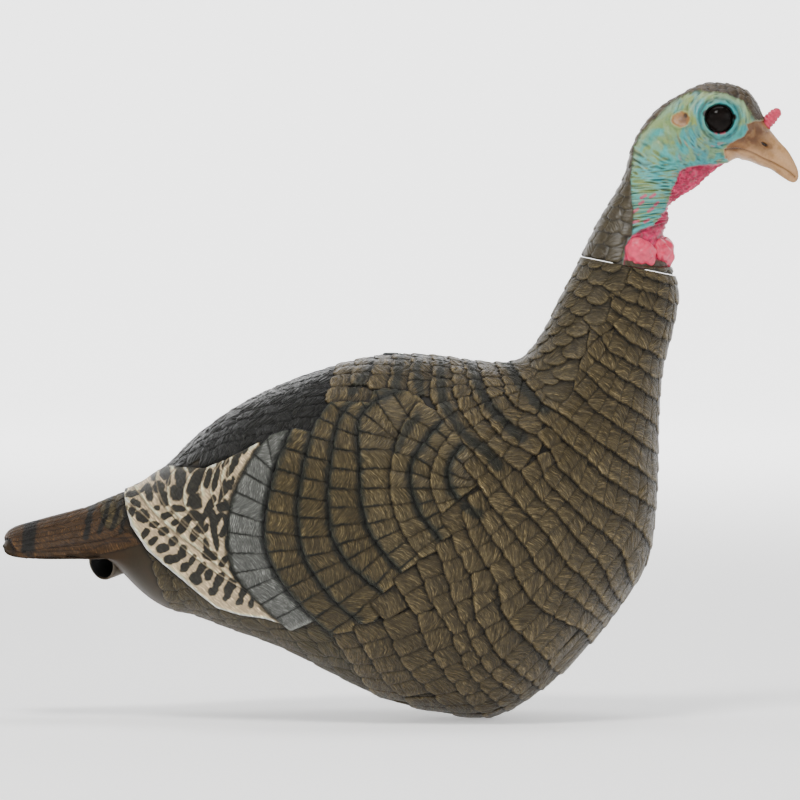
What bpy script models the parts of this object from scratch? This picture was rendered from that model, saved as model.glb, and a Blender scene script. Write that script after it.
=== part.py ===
"""Full-body hen turkey decoy: a hollow moulded bird that turns on a stake post,
with a moulded head that swivels on a snap-in neck plug.

Units are metres, +Z up, +X towards the head.  The origin is the centre of the
stake socket's mouth, on the vertical axis that the whole bird turns about.
Tables of stations are in millimetres.
"""
import math

import bmesh
import bpy
import numpy as np
from mathutils import Matrix, Vector

MM = 0.001

# ---- driving dimensions, millimetres -------------------------------------
WALL = 3.2                  # moulded skin
GAP = 0.35                  # assembly gap between touching pieces
RING = 36                   # points round each body ring
HEAD_RING = 28              # points round each head ring
BODY_RINGS = 40
HEAD_RINGS = 30

POST_R = 7.0                # post the bird turns on
SOCKET_R = 5.2              # takes a 10 mm stake
SOCKET_DEPTH = 236.0
POST_SHOULDER = 244.2
PIN_R = 3.4
PIN_TOP = 253.5
BACK_Z = 255.2              # top of the back at the stake axis
BACK_BOSS_Z = 248.9
BELLY_BOSS_Z = 22.0
BUSH_FLANGE_R = 12.2
BUSH_R = 9.4

SEAM = (177.5, 0.0, 322.0)  # centre of the head seam
SEAM_R = 35.2
NECK_TILT = math.atan2(14.0, 69.0)

VENT_MOUTH = (-217.0, -10.0, 99.0)
VENT_DIR = (-0.60, -0.77, -0.22)
VENT_R, VENT_BORE_R = 12.4, 10.6

EYE = (245.0, 20.6, 432.0)
EYE_R, EYE_BULGE = 10.7, 7.6

SNOOD_BASE = (279.6, 0.0, 427.6)
SNOOD_DIR = (0.70, 0.0, 0.71)

# Stations from tail tip to the neck seam.  Each is a flat ring across the bird:
# top point x, z; bottom point x, z; half width; height share of the widest
# point; share of the height that the keel line reaches; fullness above, below.
BODY = [
    (-291, 116, -291, 110, 19, 0.80, 0.90, 1.6, 1.8),
    (-284, 125, -284, 105, 30, 0.95, 0.62, 1.5, 1.7),
    (-262, 132, -262, 103, 35, 0.97, 0.55, 1.5, 1.7),
    (-230, 141, -230, 101, 37, 0.93, 0.60, 1.6, 1.8),
    (-209, 150, -211, 94, 40, 0.82, 0.86, 1.8, 1.9),
    (-188, 158, -191, 81, 48, 0.66, 1.0, 2.0, 2.0),
    (-167, 174, -170, 66, 61, 0.56, 1.0, 2.0, 2.0),
    (-143, 197, -147, 60, 76, 0.52, 1.0, 2.1, 2.0),
    (-113, 218, -118, 49, 91, 0.50, 1.0, 2.2, 2.0),
    (-80, 234, -85, 37, 103, 0.49, 1.0, 2.2, 2.0),
    (-42, 247, -47, 18, 111, 0.48, 1.0, 2.2, 2.0),
    (-2, 255, -5, -2, 115, 0.48, 1.0, 2.2, 2.0),
    (35, 254, 37, -12, 116, 0.48, 1.0, 2.2, 2.0),
    (65, 250, 76, -15, 114, 0.48, 1.0, 2.2, 2.0),
    (83, 249, 114, 6, 107, 0.48, 1.0, 2.1, 2.0),
    (95, 251, 148, 38, 96, 0.49, 1.0, 2.0, 2.0),
    (101, 255, 176, 74, 83, 0.50, 1.0, 2.0, 2.0),
    (107, 262, 193, 105, 71, 0.50, 1.0, 2.0, 2.0),
    (112, 269, 199, 154, 59, 0.50, 1.0, 2.0, 2.0),
    (119, 281, 200, 203, 50, 0.50, 1.0, 2.0, 2.0),
    (125, 294, 203, 243, 44, 0.50, 1.0, 2.0, 2.0),
    (133, 309, 211, 276, 40, 0.50, 1.0, 2.0, 2.0),
    (139, 321, 215, 300, 37, 0.50, 1.0, 2.0, 2.0),
    (143, 329, 212, 315, SEAM_R, 0.50, 1.0, 2.0, 2.0),
]
CAVITY_FROM = 10            # ring, counted from the tail, where the hollow starts

# Stations from the neck seam over the crown to the beak tip.
HEAD = [
    (143, 329, 212, 315, SEAM_R, 0.50, 1.0, 2.0, 2.0),
    (147, 338, 208, 328, 32.5, 0.50, 1.0, 2.0, 2.0),
    (155, 354, 205, 345, 27, 0.50, 1.0, 2.0, 2.0),
    (162, 366, 209, 357, 25, 0.48, 1.0, 2.0, 1.9),
    (170, 379, 209, 366, 24, 0.46, 1.0, 2.0, 1.9),
    (176, 392, 217, 373, 23.5, 0.44, 1.0, 2.0, 1.8),
    (180, 408, 230, 381, 23.5, 0.40, 1.0, 2.0, 1.6),
    (187, 423, 242, 392, 24, 0.40, 1.0, 2.0, 1.6),
    (200, 439, 253, 399, 24.5, 0.42, 1.0, 2.0, 1.7),
    (217, 450, 259, 402, 25, 0.44, 1.0, 2.0, 1.8),
    (234, 458, 263, 401, 25.5, 0.46, 1.0, 2.0, 1.9),
    (252, 458, 268, 400, 24.5, 0.50, 1.0, 2.0, 1.9),
    (266, 453, 273, 398, 20.5, 0.54, 1.0, 2.0, 1.9),
    (274, 444, 278, 396, 15.5, 0.58, 1.0, 1.9, 1.9),
    (281, 429, 284, 394, 11.5, 0.56, 1.0, 1.8, 1.9),
    (290, 417, 290, 390, 8.6, 0.56, 1.0, 1.8, 2.0),
    (298, 408, 296, 386, 6.2, 0.55, 1.0, 1.9, 2.0),
    (304, 397, 301, 384, 3.9, 0.52, 1.0, 2.0, 2.0),
    (306, 390, 305, 385, 1.7, 0.50, 1.0, 2.0, 2.0),
]
# Pink lobes at the foot of the throat: centre and radii.
LOBES = [
    ((186, -25.5, 334), (10.2, 9.5, 10.0)),
    ((186, 25.5, 334), (10.2, 9.5, 10.0)),
    ((201, 0, 333.5), (10.5, 14.0, 9.6)),
]


# ---- scene ----------------------------------------------------------------
for ob in list(bpy.data.objects):
    bpy.data.objects.remove(ob, do_unlink=True)


def collection(name):
    c = bpy.data.collections.new(name)
    bpy.context.scene.collection.children.link(c)
    return c


PARTS = collection("turkey_decoy")
CUTTERS = collection("cutters")


def material(name, colour, rough, metal=0.0):
    m = bpy.data.materials.new(name)
    m.use_nodes = True
    p = m.node_tree.nodes["Principled BSDF"]
    p.inputs["Base Color"].default_value = (*colour, 1.0)
    p.inputs["Roughness"].default_value = rough
    p.inputs["Metallic"].default_value = metal
    return m


def add(name, mesh, where=PARTS, mat=None, smooth=True):
    ob = bpy.data.objects.new(name, mesh)
    where.objects.link(ob)
    if where is CUTTERS:
        ob.hide_render = True
        ob.display_type = "WIRE"
    if mat is not None:
        mesh.materials.append(mat)
    if smooth:
        mesh.shade_smooth()
        mesh.set_sharp_from_angle(angle=math.radians(40))
    return ob


def boolean(ob, cutter, operation="DIFFERENCE"):
    m = ob.modifiers.new(cutter.name, "BOOLEAN")
    m.operation = operation
    m.object = cutter
    return m


# ---- lofted forms -----------------------------------------------------------
def spline(table, count):
    """The stations read at even steps from a centripetal-like cubic through them."""
    t = np.array(table, float)
    n = len(t)
    out = []
    for s in np.linspace(0, n - 1, count):
        i = min(int(s), n - 2)
        f = s - i
        p0, p1, p2, p3 = t[max(i - 1, 0)], t[i], t[i + 1], t[min(i + 2, n - 1)]
        m1, m2 = (p2 - p0) / 2, (p3 - p1) / 2
        out.append(
            (2 * f**3 - 3 * f**2 + 1) * p1
            + (f**3 - 2 * f**2 + f) * m1
            + (-2 * f**3 + 3 * f**2) * p2
            + (f**3 - f**2) * m2
        )
    return np.array(out)


def ring_points(station, count):
    """One closed ring, from the top, down the -Y side, along the keel and up."""
    tx, tz, bx, bz, w, q, c, n1, n2 = station
    pts = []
    for k in range(count):
        a = 2 * math.pi * k / count
        s, cs = math.sin(a), math.cos(a)
        if cs >= 0:
            h = q * (1 - abs(cs) ** (2 / n1))
            y = abs(s) ** (2 / n1)
        else:
            h = q + (c - q) * abs(cs) ** (2 / n2)
            y = abs(s) ** (2 / n2)
        y = -w * y if s > 0 else w * y
        pts.append((tx + (bx - tx) * h, y, tz + (bz - tz) * h))
    return pts


def grid_of(table, rings, count):
    return np.array([ring_points(s, count) for s in spline(table, rings)])


def skin_normals(grid):
    """Outward unit normals of a loft's points, from their neighbours."""
    along = np.gradient(grid, axis=0)
    around = np.roll(grid, -1, axis=1) - np.roll(grid, 1, axis=1)
    n = np.cross(along, around)
    n /= np.linalg.norm(n, axis=2, keepdims=True) + 1e-12
    middle = grid.mean(axis=1, keepdims=True)
    if ((grid - middle) * n).sum() < 0:
        n = -n
    return n


def loft(name, grid):
    """A closed body through the rings, with a fan of faces over each end."""
    bm = bmesh.new()
    rows = [[bm.verts.new(Vector(p) * MM) for p in ring] for ring in grid]
    n = len(rows[0])
    for a, b in zip(rows, rows[1:]):
        for k in range(n):
            bm.faces.new((a[k], a[(k + 1) % n], b[(k + 1) % n], b[k]))
    for row, turn in ((rows[0], True), (rows[-1], False)):
        centre = bm.verts.new(sum((v.co for v in row), Vector()) / n)
        for k in range(n):
            tri = (row[k], row[(k + 1) % n], centre)
            bm.faces.new(tri[::-1] if turn else tri)
    bmesh.ops.recalc_face_normals(bm, faces=bm.faces)
    if bm.calc_volume(signed=True) < 0:
        bmesh.ops.reverse_faces(bm, faces=bm.faces)
    mesh = bpy.data.meshes.new(name)
    bm.to_mesh(mesh)
    bm.free()
    return mesh


# ---- turned and primitive forms ----------------------------------------------
def turned(name, profile, where=PARTS, mat=None, steps=32, closed=True, place=None):
    """A profile of (radius, height) turned about its own Z with a Screw."""
    mesh = bpy.data.meshes.new(name)
    pts = [(r * MM, 0, z * MM) for r, z in profile]
    edges = [(i, i + 1) for i in range(len(pts) - 1)]
    if closed:
        edges.append((len(pts) - 1, 0))
    mesh.from_pydata(pts, edges, [])
    ob = add(name, mesh, where, mat, smooth=False)
    s = ob.modifiers.new("turn", "SCREW")
    s.steps = s.render_steps = steps
    s.use_merge_vertices = True
    s.merge_threshold = 0.00001
    s.use_smooth_shade = False
    if place is not None:
        ob.matrix_world = place
    return ob


def cylinder(name, r, z0, z1, where=CUTTERS, place=None, segments=32):
    bm = bmesh.new()
    bmesh.ops.create_cone(
        bm, cap_ends=True, segments=segments, radius1=r * MM, radius2=r * MM,
        depth=(z1 - z0) * MM,
        matrix=Matrix.Translation((0, 0, (z0 + z1) / 2 * MM)),
    )
    mesh = bpy.data.meshes.new(name)
    bm.to_mesh(mesh)
    bm.free()
    ob = add(name, mesh, where, smooth=False)
    if place is not None:
        ob.matrix_world = place
    return ob


def ball(name, centre, radii, where=CUTTERS, mat=None, u=18, v=11):
    """A sphere stretched to three radii, its poles on the Y axis."""
    bm = bmesh.new()
    bmesh.ops.create_uvsphere(bm, u_segments=u, v_segments=v, radius=1.0)
    bmesh.ops.transform(
        bm, verts=bm.verts, matrix=Matrix.Rotation(math.pi / 2, 4, "X")
    )
    for vert in bm.verts:
        vert.co = Vector([vert.co[i] * radii[i] * MM for i in range(3)])
    mesh = bpy.data.meshes.new(name)
    bm.to_mesh(mesh)
    bm.free()
    ob = add(name, mesh, where, mat)
    ob.location = Vector(centre) * MM
    return ob


def along(origin, direction):
    """A frame at origin whose Z runs along direction."""
    turn = Vector(direction).normalized().to_track_quat("Z", "Y").to_matrix().to_4x4()
    return Matrix.Translation(Vector(origin) * MM) @ turn


SKIN = material("skin_olive", (0.105, 0.088, 0.060), 0.62)
HEADMAT = material("head_turquoise", (0.25, 0.47, 0.43), 0.55)
PINK = material("snood_pink", (0.72, 0.16, 0.22), 0.5)
BLACK = material("eye_black", (0.01, 0.008, 0.008), 0.05)
DARK = material("grommet_black", (0.02, 0.02, 0.02), 0.5)
NYLON = material("nylon_natural", (0.62, 0.60, 0.54), 0.45)
STEEL = material("post_steel", (0.42, 0.42, 0.43), 0.35, 1.0)
RUBBER = material("o_ring_rubber", (0.015, 0.015, 0.015), 0.7)

NECK = Matrix.Translation(Vector(SEAM) * MM) @ Matrix.Rotation(NECK_TILT, 4, "Y")

# ---- body shell ---------------------------------------------------------------
outer = grid_of(BODY, BODY_RINGS, RING)
shell = add("body_shell", loft("body_shell", outer), PARTS, SKIN)

# The hollow follows the skin at one wall's depth and runs out through the neck.
inner = outer - skin_normals(outer) * WALL
inner = inner[CAVITY_FROM:, ::2]
axis = Vector((math.sin(NECK_TILT), 0, math.cos(NECK_TILT)))
beyond = inner[-1] + np.array(axis) * 8.0
cavity = add("cavity", loft("cavity", np.concatenate([inner, beyond[None]])), CUTTERS)
boolean(cavity, cylinder("belly_boss", 17.0, -40, BELLY_BOSS_Z))
boolean(cavity, cylinder("back_boss", 12.0, BACK_BOSS_Z, 300))
boolean(shell, cavity)

# Vent spout under the tail, opening backwards and to one side.
vent = along(VENT_MOUTH, VENT_DIR)
boolean(shell, cylinder("vent_tube", VENT_R, -30, 0, place=vent), "UNION")
boolean(shell, cylinder("vent_bore", VENT_BORE_R, -27, 5, place=vent, segments=28))
boolean(
    shell,
    cylinder(
        "vent_duct", 8.6, 0, 62, segments=20, place=along((-212, -6, 101), (1, 0, 0))
    ),
)

# Recess and bore for the belly bushing, and for the back grommet.
boolean(shell, cylinder("belly_recess", BUSH_FLANGE_R + 0.4, -60, 2.5 + GAP))
boolean(shell, cylinder("belly_bore", BUSH_R + 0.4, -10, 40))
boolean(shell, cylinder("back_bore", 5.6, 240, 262))
boolean(shell, cylinder("back_recess", 6.7, BACK_Z - 0.8, 275))

# ---- stake post and its bearings -------------------------------------------------
turned(
    "stake_post",
    [(0, PIN_TOP), (PIN_R - 0.6, PIN_TOP), (PIN_R, PIN_TOP - 0.8), (PIN_R, POST_SHOULDER),
     (POST_R, POST_SHOULDER), (POST_R, 0), (SOCKET_R, 0), (SOCKET_R, SOCKET_DEPTH),
     (0, SOCKET_DEPTH)],
    mat=STEEL, closed=False,
)
turned(
    "thrust_washer",
    [(6.8, 246.1), (6.8, POST_SHOULDER + GAP), (3.8, POST_SHOULDER + GAP), (3.8, 246.1)],
    mat=NYLON,
)
turned(
    "back_grommet",
    [(5.0, BACK_Z + 1.9), (6.2, BACK_Z + 1.2), (6.3, BACK_Z - 0.45), (5.2, BACK_Z - 0.45),
     (5.2, 246.5), (3.85, 246.5), (3.85, BACK_Z + 1.5), (4.2, BACK_Z + 1.9)],
    mat=DARK, steps=28,
)
turned(
    "back_grommet_ring",
    [(8.6, BACK_BOSS_Z - GAP), (8.6, 246.9), (5.55, 246.9), (5.55, BACK_BOSS_Z - GAP)],
    mat=DARK, steps=28,
)
turned(
    "belly_bushing",
    [(BUSH_R, 28.5), (BUSH_R, 2.5), (BUSH_FLANGE_R, 2.5), (BUSH_FLANGE_R, 0),
     (7.45, 0), (7.45, 28.5)],
    mat=NYLON,
)
nut = cylinder(
    "belly_bushing_nut", 15.0, BELLY_BOSS_Z + GAP, BELLY_BOSS_Z + 5.2, where=PARTS,
    segments=6,
)
nut.data.materials.append(NYLON)
boolean(nut, cylinder("nut_bore", BUSH_R + GAP, 10, 40))

# ---- neck joint --------------------------------------------------------------------
turned(
    "neck_socket",
    [(31.6, -5.4), (31.6, -9.0), (29.5, -20.0), (22.4, -20.0), (22.4, -5.4)],
    mat=NYLON, steps=36, place=NECK,
)
turned(
    "neck_plug",
    [(0, 30), (10.8, 30), (11.6, 29), (11.6, -0.2), (31.2, -0.2), (31.2, -4.8),
     (22.0, -4.8), (22.0, -9.0), (20.1, -9.0), (20.1, -11.6), (22.0, -11.6),
     (22.0, -20.6), (23.6, -21.2), (22.2, -25.0), (17.0, -25.0), (17.0, -8.0), (0, -8.0)],
    mat=NYLON, steps=36, closed=False, place=NECK,
)
turned(
    "neck_o_ring",
    [(21.25 + 0.8 * math.cos(a), -10.3 + 0.8 * math.sin(a))
     for a in [-2 * math.pi * k / 6 for k in range(6)]],
    mat=RUBBER, steps=36, place=NECK,
)

# ---- head --------------------------------------------------------------------------
head_grid = grid_of(HEAD, HEAD_RINGS, HEAD_RING)
head_grid[0] += np.array(axis) * 0.4        # running gap at the seam
head = add("head", loft("head", head_grid), PARTS, HEADMAT)
for i, (centre, radii) in enumerate(LOBES):
    boolean(head, ball(f"lobe_{i}", centre, radii, u=14, v=8), "UNION")
boolean(head, cylinder("plug_pocket", 12.0, -10, 30.5, place=NECK))

for side, sign in (("right", -1), ("left", 1)):
    spot = (EYE[0], sign * EYE[1], EYE[2])
    ball(f"eye_{side}", spot, (EYE_R, EYE_BULGE, EYE_R), PARTS, BLACK)
    boolean(
        head,
        ball(f"socket_{side}", spot, (EYE_R + 0.4, EYE_BULGE + 0.4, EYE_R + 0.4)),
    )

snood = along(SNOOD_BASE, SNOOD_DIR)
turned(
    "snood",
    [(0, 15.5), (1.9, 15.0), (3.1, 13.4), (3.6, 11.0), (4.0, 6.0), (4.7, 1.0),
     (4.7, 0.0), (2.4, 0.0), (2.4, -6.0), (0, -6.0)],
    mat=PINK, steps=24, closed=False, place=snood,
)
boolean(head, cylinder("snood_seat", 5.1, -0.35, 20, place=snood, segments=24))
boolean(head, cylinder("snood_hole", 2.75, -6.4, 2, place=snood, segments=20))
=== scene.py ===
"""Looks of a moulded turkey decoy: feathered skin, painted head, fittings, light and camera.

The skin is one fine grid over the lofted body. Every feather is pressed into it as a
raised scale, the way the mould carries them, and painted as it is pressed. Lengths in
the tables are millimetres; the layout lines are drawn on a side elevation ruled in
0.75 mm squares, with `sq` turning squares into millimetres.
"""
import math

import bmesh
import bpy
import numpy as np
from mathutils import Matrix, Vector


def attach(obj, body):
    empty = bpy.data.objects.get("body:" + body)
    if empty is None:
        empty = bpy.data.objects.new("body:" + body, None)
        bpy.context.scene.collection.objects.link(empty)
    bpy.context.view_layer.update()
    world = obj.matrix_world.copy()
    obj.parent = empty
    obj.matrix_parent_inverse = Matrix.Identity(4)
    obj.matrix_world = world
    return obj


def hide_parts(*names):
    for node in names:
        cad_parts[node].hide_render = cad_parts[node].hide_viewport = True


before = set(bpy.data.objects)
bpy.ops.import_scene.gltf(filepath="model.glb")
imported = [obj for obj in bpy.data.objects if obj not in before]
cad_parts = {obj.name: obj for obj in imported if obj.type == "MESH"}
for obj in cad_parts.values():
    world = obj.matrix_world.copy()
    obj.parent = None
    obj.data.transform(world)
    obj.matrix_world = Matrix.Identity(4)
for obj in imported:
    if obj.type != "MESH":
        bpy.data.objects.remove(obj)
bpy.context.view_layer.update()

MM = 0.001
Q = 8  # fine squares of skin to one square of its inner wall
NI, NJ = ((881, 960))
HI, HJ = ((433, 400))
RNG = np.random.default_rng(11)

# ---- the form, as in the CAD part ------------------------------------------------
BODY = [
    (-291, 116, -291, 110, 19, 0.80, 0.90, 1.6, 1.8),
    (-284, 125, -284, 105, 30, 0.95, 0.62, 1.5, 1.7),
    (-262, 132, -262, 103, 35, 0.97, 0.55, 1.5, 1.7),
    (-230, 141, -230, 101, 37, 0.93, 0.60, 1.6, 1.8),
    (-209, 150, -211, 94, 40, 0.82, 0.86, 1.8, 1.9),
    (-188, 158, -191, 81, 48, 0.66, 1.0, 2.0, 2.0),
    (-167, 174, -170, 66, 61, 0.56, 1.0, 2.0, 2.0),
    (-143, 197, -147, 60, 76, 0.52, 1.0, 2.1, 2.0),
    (-113, 218, -118, 49, 91, 0.50, 1.0, 2.2, 2.0),
    (-80, 234, -85, 37, 103, 0.49, 1.0, 2.2, 2.0),
    (-42, 247, -47, 18, 111, 0.48, 1.0, 2.2, 2.0),
    (-2, 255, -5, -2, 115, 0.48, 1.0, 2.2, 2.0),
    (35, 254, 37, -12, 116, 0.48, 1.0, 2.2, 2.0),
    (65, 250, 76, -15, 114, 0.48, 1.0, 2.2, 2.0),
    (83, 249, 114, 6, 107, 0.48, 1.0, 2.1, 2.0),
    (95, 251, 148, 38, 96, 0.49, 1.0, 2.0, 2.0),
    (101, 255, 176, 74, 83, 0.50, 1.0, 2.0, 2.0),
    (107, 262, 193, 105, 71, 0.50, 1.0, 2.0, 2.0),
    (112, 269, 199, 154, 59, 0.50, 1.0, 2.0, 2.0),
    (119, 281, 200, 203, 50, 0.50, 1.0, 2.0, 2.0),
    (125, 294, 203, 243, 44, 0.50, 1.0, 2.0, 2.0),
    (133, 309, 211, 276, 40, 0.50, 1.0, 2.0, 2.0),
    (139, 321, 215, 300, 37, 0.50, 1.0, 2.0, 2.0),
    (143, 329, 212, 315, 35.2, 0.50, 1.0, 2.0, 2.0),
]
HEAD = [
    (143, 329, 212, 315, 35.2, 0.50, 1.0, 2.0, 2.0),
    (147, 338, 208, 328, 32.5, 0.50, 1.0, 2.0, 2.0),
    (155, 354, 205, 345, 27, 0.50, 1.0, 2.0, 2.0),
    (162, 366, 209, 357, 25, 0.48, 1.0, 2.0, 1.9),
    (170, 379, 209, 366, 24, 0.46, 1.0, 2.0, 1.9),
    (176, 392, 217, 373, 23.5, 0.44, 1.0, 2.0, 1.8),
    (180, 408, 230, 381, 23.5, 0.40, 1.0, 2.0, 1.6),
    (187, 423, 242, 392, 24, 0.40, 1.0, 2.0, 1.6),
    (200, 439, 253, 399, 24.5, 0.42, 1.0, 2.0, 1.7),
    (217, 450, 259, 402, 25, 0.44, 1.0, 2.0, 1.8),
    (234, 458, 263, 401, 25.5, 0.46, 1.0, 2.0, 1.9),
    (252, 458, 268, 400, 24.5, 0.50, 1.0, 2.0, 1.9),
    (266, 453, 273, 398, 20.5, 0.54, 1.0, 2.0, 1.9),
    (274, 444, 278, 396, 15.5, 0.58, 1.0, 1.9, 1.9),
    (281, 429, 284, 394, 11.5, 0.56, 1.0, 1.8, 1.9),
    (290, 417, 290, 390, 8.6, 0.56, 1.0, 1.8, 2.0),
    (298, 408, 296, 386, 6.2, 0.55, 1.0, 1.9, 2.0),
    (304, 397, 301, 384, 3.9, 0.52, 1.0, 2.0, 2.0),
    (306, 390, 305, 385, 1.7, 0.50, 1.0, 2.0, 2.0),
]
SEAM = np.array((177.5, 0, 322.0))
SEAM_AXIS = np.array((0.198846, 0, 0.980031))
NECK_AXIS = np.array((0.198846, 0, 0.980031))
EYE, EYE_R, EYE_BULGE = (245.0, 20.6, 432.0), 10.7, 7.6
SNOOD_BASE, SNOOD_DIR = np.array((279.6, 0, 427.6)), np.array((0.70, 0, 0.71))
VENT_MOUTH, VENT_DIR = np.array((-217.0, -10, 99)), np.array((-0.60, -0.77, -0.22))


# ---- small mathematics -------------------------------------------------------------
def sq(points):
    """Squares of the side elevation as (x, z) in millimetres."""
    p = np.array(points, float)
    return np.stack([0.75 * (p[:, 0] - 391), 0.75 * (695.5 - p[:, 1])], 1)


def srgb(r, g, b):
    c = np.array((r, g, b), float) / 255
    return np.where(c <= 0.04045, c / 12.92, ((c + 0.055) / 1.055) ** 2.4)


def unit(v):
    return v / (np.linalg.norm(v, axis=-1, keepdims=True) + 1e-12)


def smooth(x, lo, hi):
    t = np.clip((x - lo) / (hi - lo), 0, 1)
    return t * t * (3 - 2 * t)


def hashed(ix, iy, iz, seed):
    h = (ix * 73856093) ^ (iy * 19349663) ^ (iz * 83492791) ^ (seed * 2654435761)
    h = (h ^ (h >> 13)) * 1274126177
    h = h ^ (h >> 16)
    return (h & 0xFFFF).astype(np.float32) / 65535.0


def noise(p, scale, seed=0):
    """Smooth value noise, 0 to 1, with cells `scale` mm wide, at points p[..., 3]."""
    p = p / scale
    f0 = np.floor(p)
    i = f0.astype(np.int64)
    f = (p - f0).astype(np.float32)
    f = f * f * (3 - 2 * f)
    out = 0
    for dx in (0, 1):
        wx = f[..., 0] if dx else 1 - f[..., 0]
        for dy in (0, 1):
            wy = f[..., 1] if dy else 1 - f[..., 1]
            for dz in (0, 1):
                wz = f[..., 2] if dz else 1 - f[..., 2]
                out = out + wx * wy * wz * hashed(
                    i[..., 0] + dx, i[..., 1] + dy, i[..., 2] + dz, seed
                )
    return out


def fractal(p, scale, seed=0, octaves=3):
    out, weight, total = 0, 1.0, 0.0
    for k in range(octaves):
        out = out + weight * noise(p, scale / 2**k, seed + 17 * k)
        total += weight
        weight *= 0.55
    return out / total


def spline(table, count):
    t = np.array(table, float)
    n = len(t)
    out = []
    for s in np.linspace(0, n - 1, count):
        i = min(int(s), n - 2)
        f = s - i
        p0, p1, p2, p3 = t[max(i - 1, 0)], t[i], t[i + 1], t[min(i + 2, n - 1)]
        m1, m2 = (p2 - p0) / 2, (p3 - p1) / 2
        out.append(
            (2 * f**3 - 3 * f**2 + 1) * p1 + (f**3 - 2 * f**2 + f) * m1
            + (-2 * f**3 + 3 * f**2) * p2 + (f**3 - f**2) * m2
        )
    return np.array(out)


def ring(station, count):
    """One ring at even steps of its own length: top, -Y side, keel, +Y side."""
    tx, tz, bx, bz, w, q, c, n1, n2 = station
    a = np.linspace(0, math.pi, 721)
    s, cs = np.sin(a), np.cos(a)
    up = cs >= 0
    h = np.where(
        up, q * (1 - np.abs(cs) ** (2 / n1)), q + (c - q) * np.abs(cs) ** (2 / n2)
    )
    y = -w * np.where(up, np.abs(s) ** (2 / n1), np.abs(s) ** (2 / n2))
    p = np.stack([tx + (bx - tx) * h, y, tz + (bz - tz) * h], 1)
    run = np.concatenate([[0], np.cumsum(np.linalg.norm(np.diff(p, axis=0), axis=1))])
    at = np.linspace(0, run[-1], count // 2 + 1)
    half = np.stack([np.interp(at, run, p[:, k]) for k in range(3)], 1)
    half[0, 1] = half[-1, 1] = 0
    back = half[1:-1][::-1] * np.array((1, -1, 1))
    return np.concatenate([half, back])


def loft(table, ni, nj, share=(0.3, 0.4, 0.3)):
    """Rings read where they keep an even distance apart."""
    dense = spline(table, 2400)
    top, bottom = dense[:, [0, 1]], dense[:, [2, 3]]
    length = 0
    for line, w in zip((top, (top + bottom) / 2, bottom), share):
        length = length + w * np.linalg.norm(np.diff(line, axis=0), axis=1)
    run = np.concatenate([[0], np.cumsum(length)])
    at = np.linspace(0, run[-1], ni)
    rows = np.stack([np.interp(at, run, dense[:, k]) for k in range(9)], 1)
    return np.array([ring(r, nj) for r in rows])


def normals_of(grid):
    along = np.gradient(grid, axis=0)
    around = np.roll(grid, -1, axis=1) - np.roll(grid, 1, axis=1)
    n = unit(np.cross(along, around))
    middle = grid.mean(axis=1, keepdims=True)
    return -n if ((grid - middle) * n).sum() < 0 else n


def inside(poly, x, z):
    """Whether points are in a polygon of the side elevation."""
    hit = np.zeros(np.shape(x), bool)
    n = len(poly)
    for k in range(n):
        (x1, z1), (x2, z2) = poly[k], poly[(k + 1) % n]
        if z1 == z2:
            continue
        crosses = ((z1 > z) != (z2 > z)) & (x < (x2 - x1) * (z - z1) / (z2 - z1) + x1)
        hit ^= crosses
    return hit


def nearest_on(line, x, z):
    """Distance from points to a line of the side elevation, with the run along it."""
    best = np.full(np.shape(x), 1e9)
    at = np.zeros(np.shape(x))
    side = np.zeros(np.shape(x))
    run = 0.0
    for (x1, z1), (x2, z2) in zip(line[:-1], line[1:]):
        dx, dz = x2 - x1, z2 - z1
        size = math.hypot(dx, dz) + 1e-9
        t = np.clip(((x - x1) * dx + (z - z1) * dz) / size**2, 0, 1)
        d = np.hypot(x - x1 - t * dx, z - z1 - t * dz)
        better = d < best
        best = np.where(better, d, best)
        at = np.where(better, run + t * size, at)
        side = np.where(better, (dx * (z - z1) - dz * (x - x1)), side)
        run += size
    return best, at, np.sign(side)


def even(line, step=None, count=None):
    """A smooth curve through a line's points, read at even steps."""
    dense = spline(np.array(line), 40 * len(line))
    run = np.concatenate([[0], np.cumsum(np.linalg.norm(np.diff(dense, axis=0), axis=1))])
    if count is None:
        count = max(2, int(round(run[-1] / step)) + 1)
    at = np.linspace(0, run[-1], count)
    return np.stack([np.interp(at, run, dense[:, k]) for k in range(2)], 1)


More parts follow.
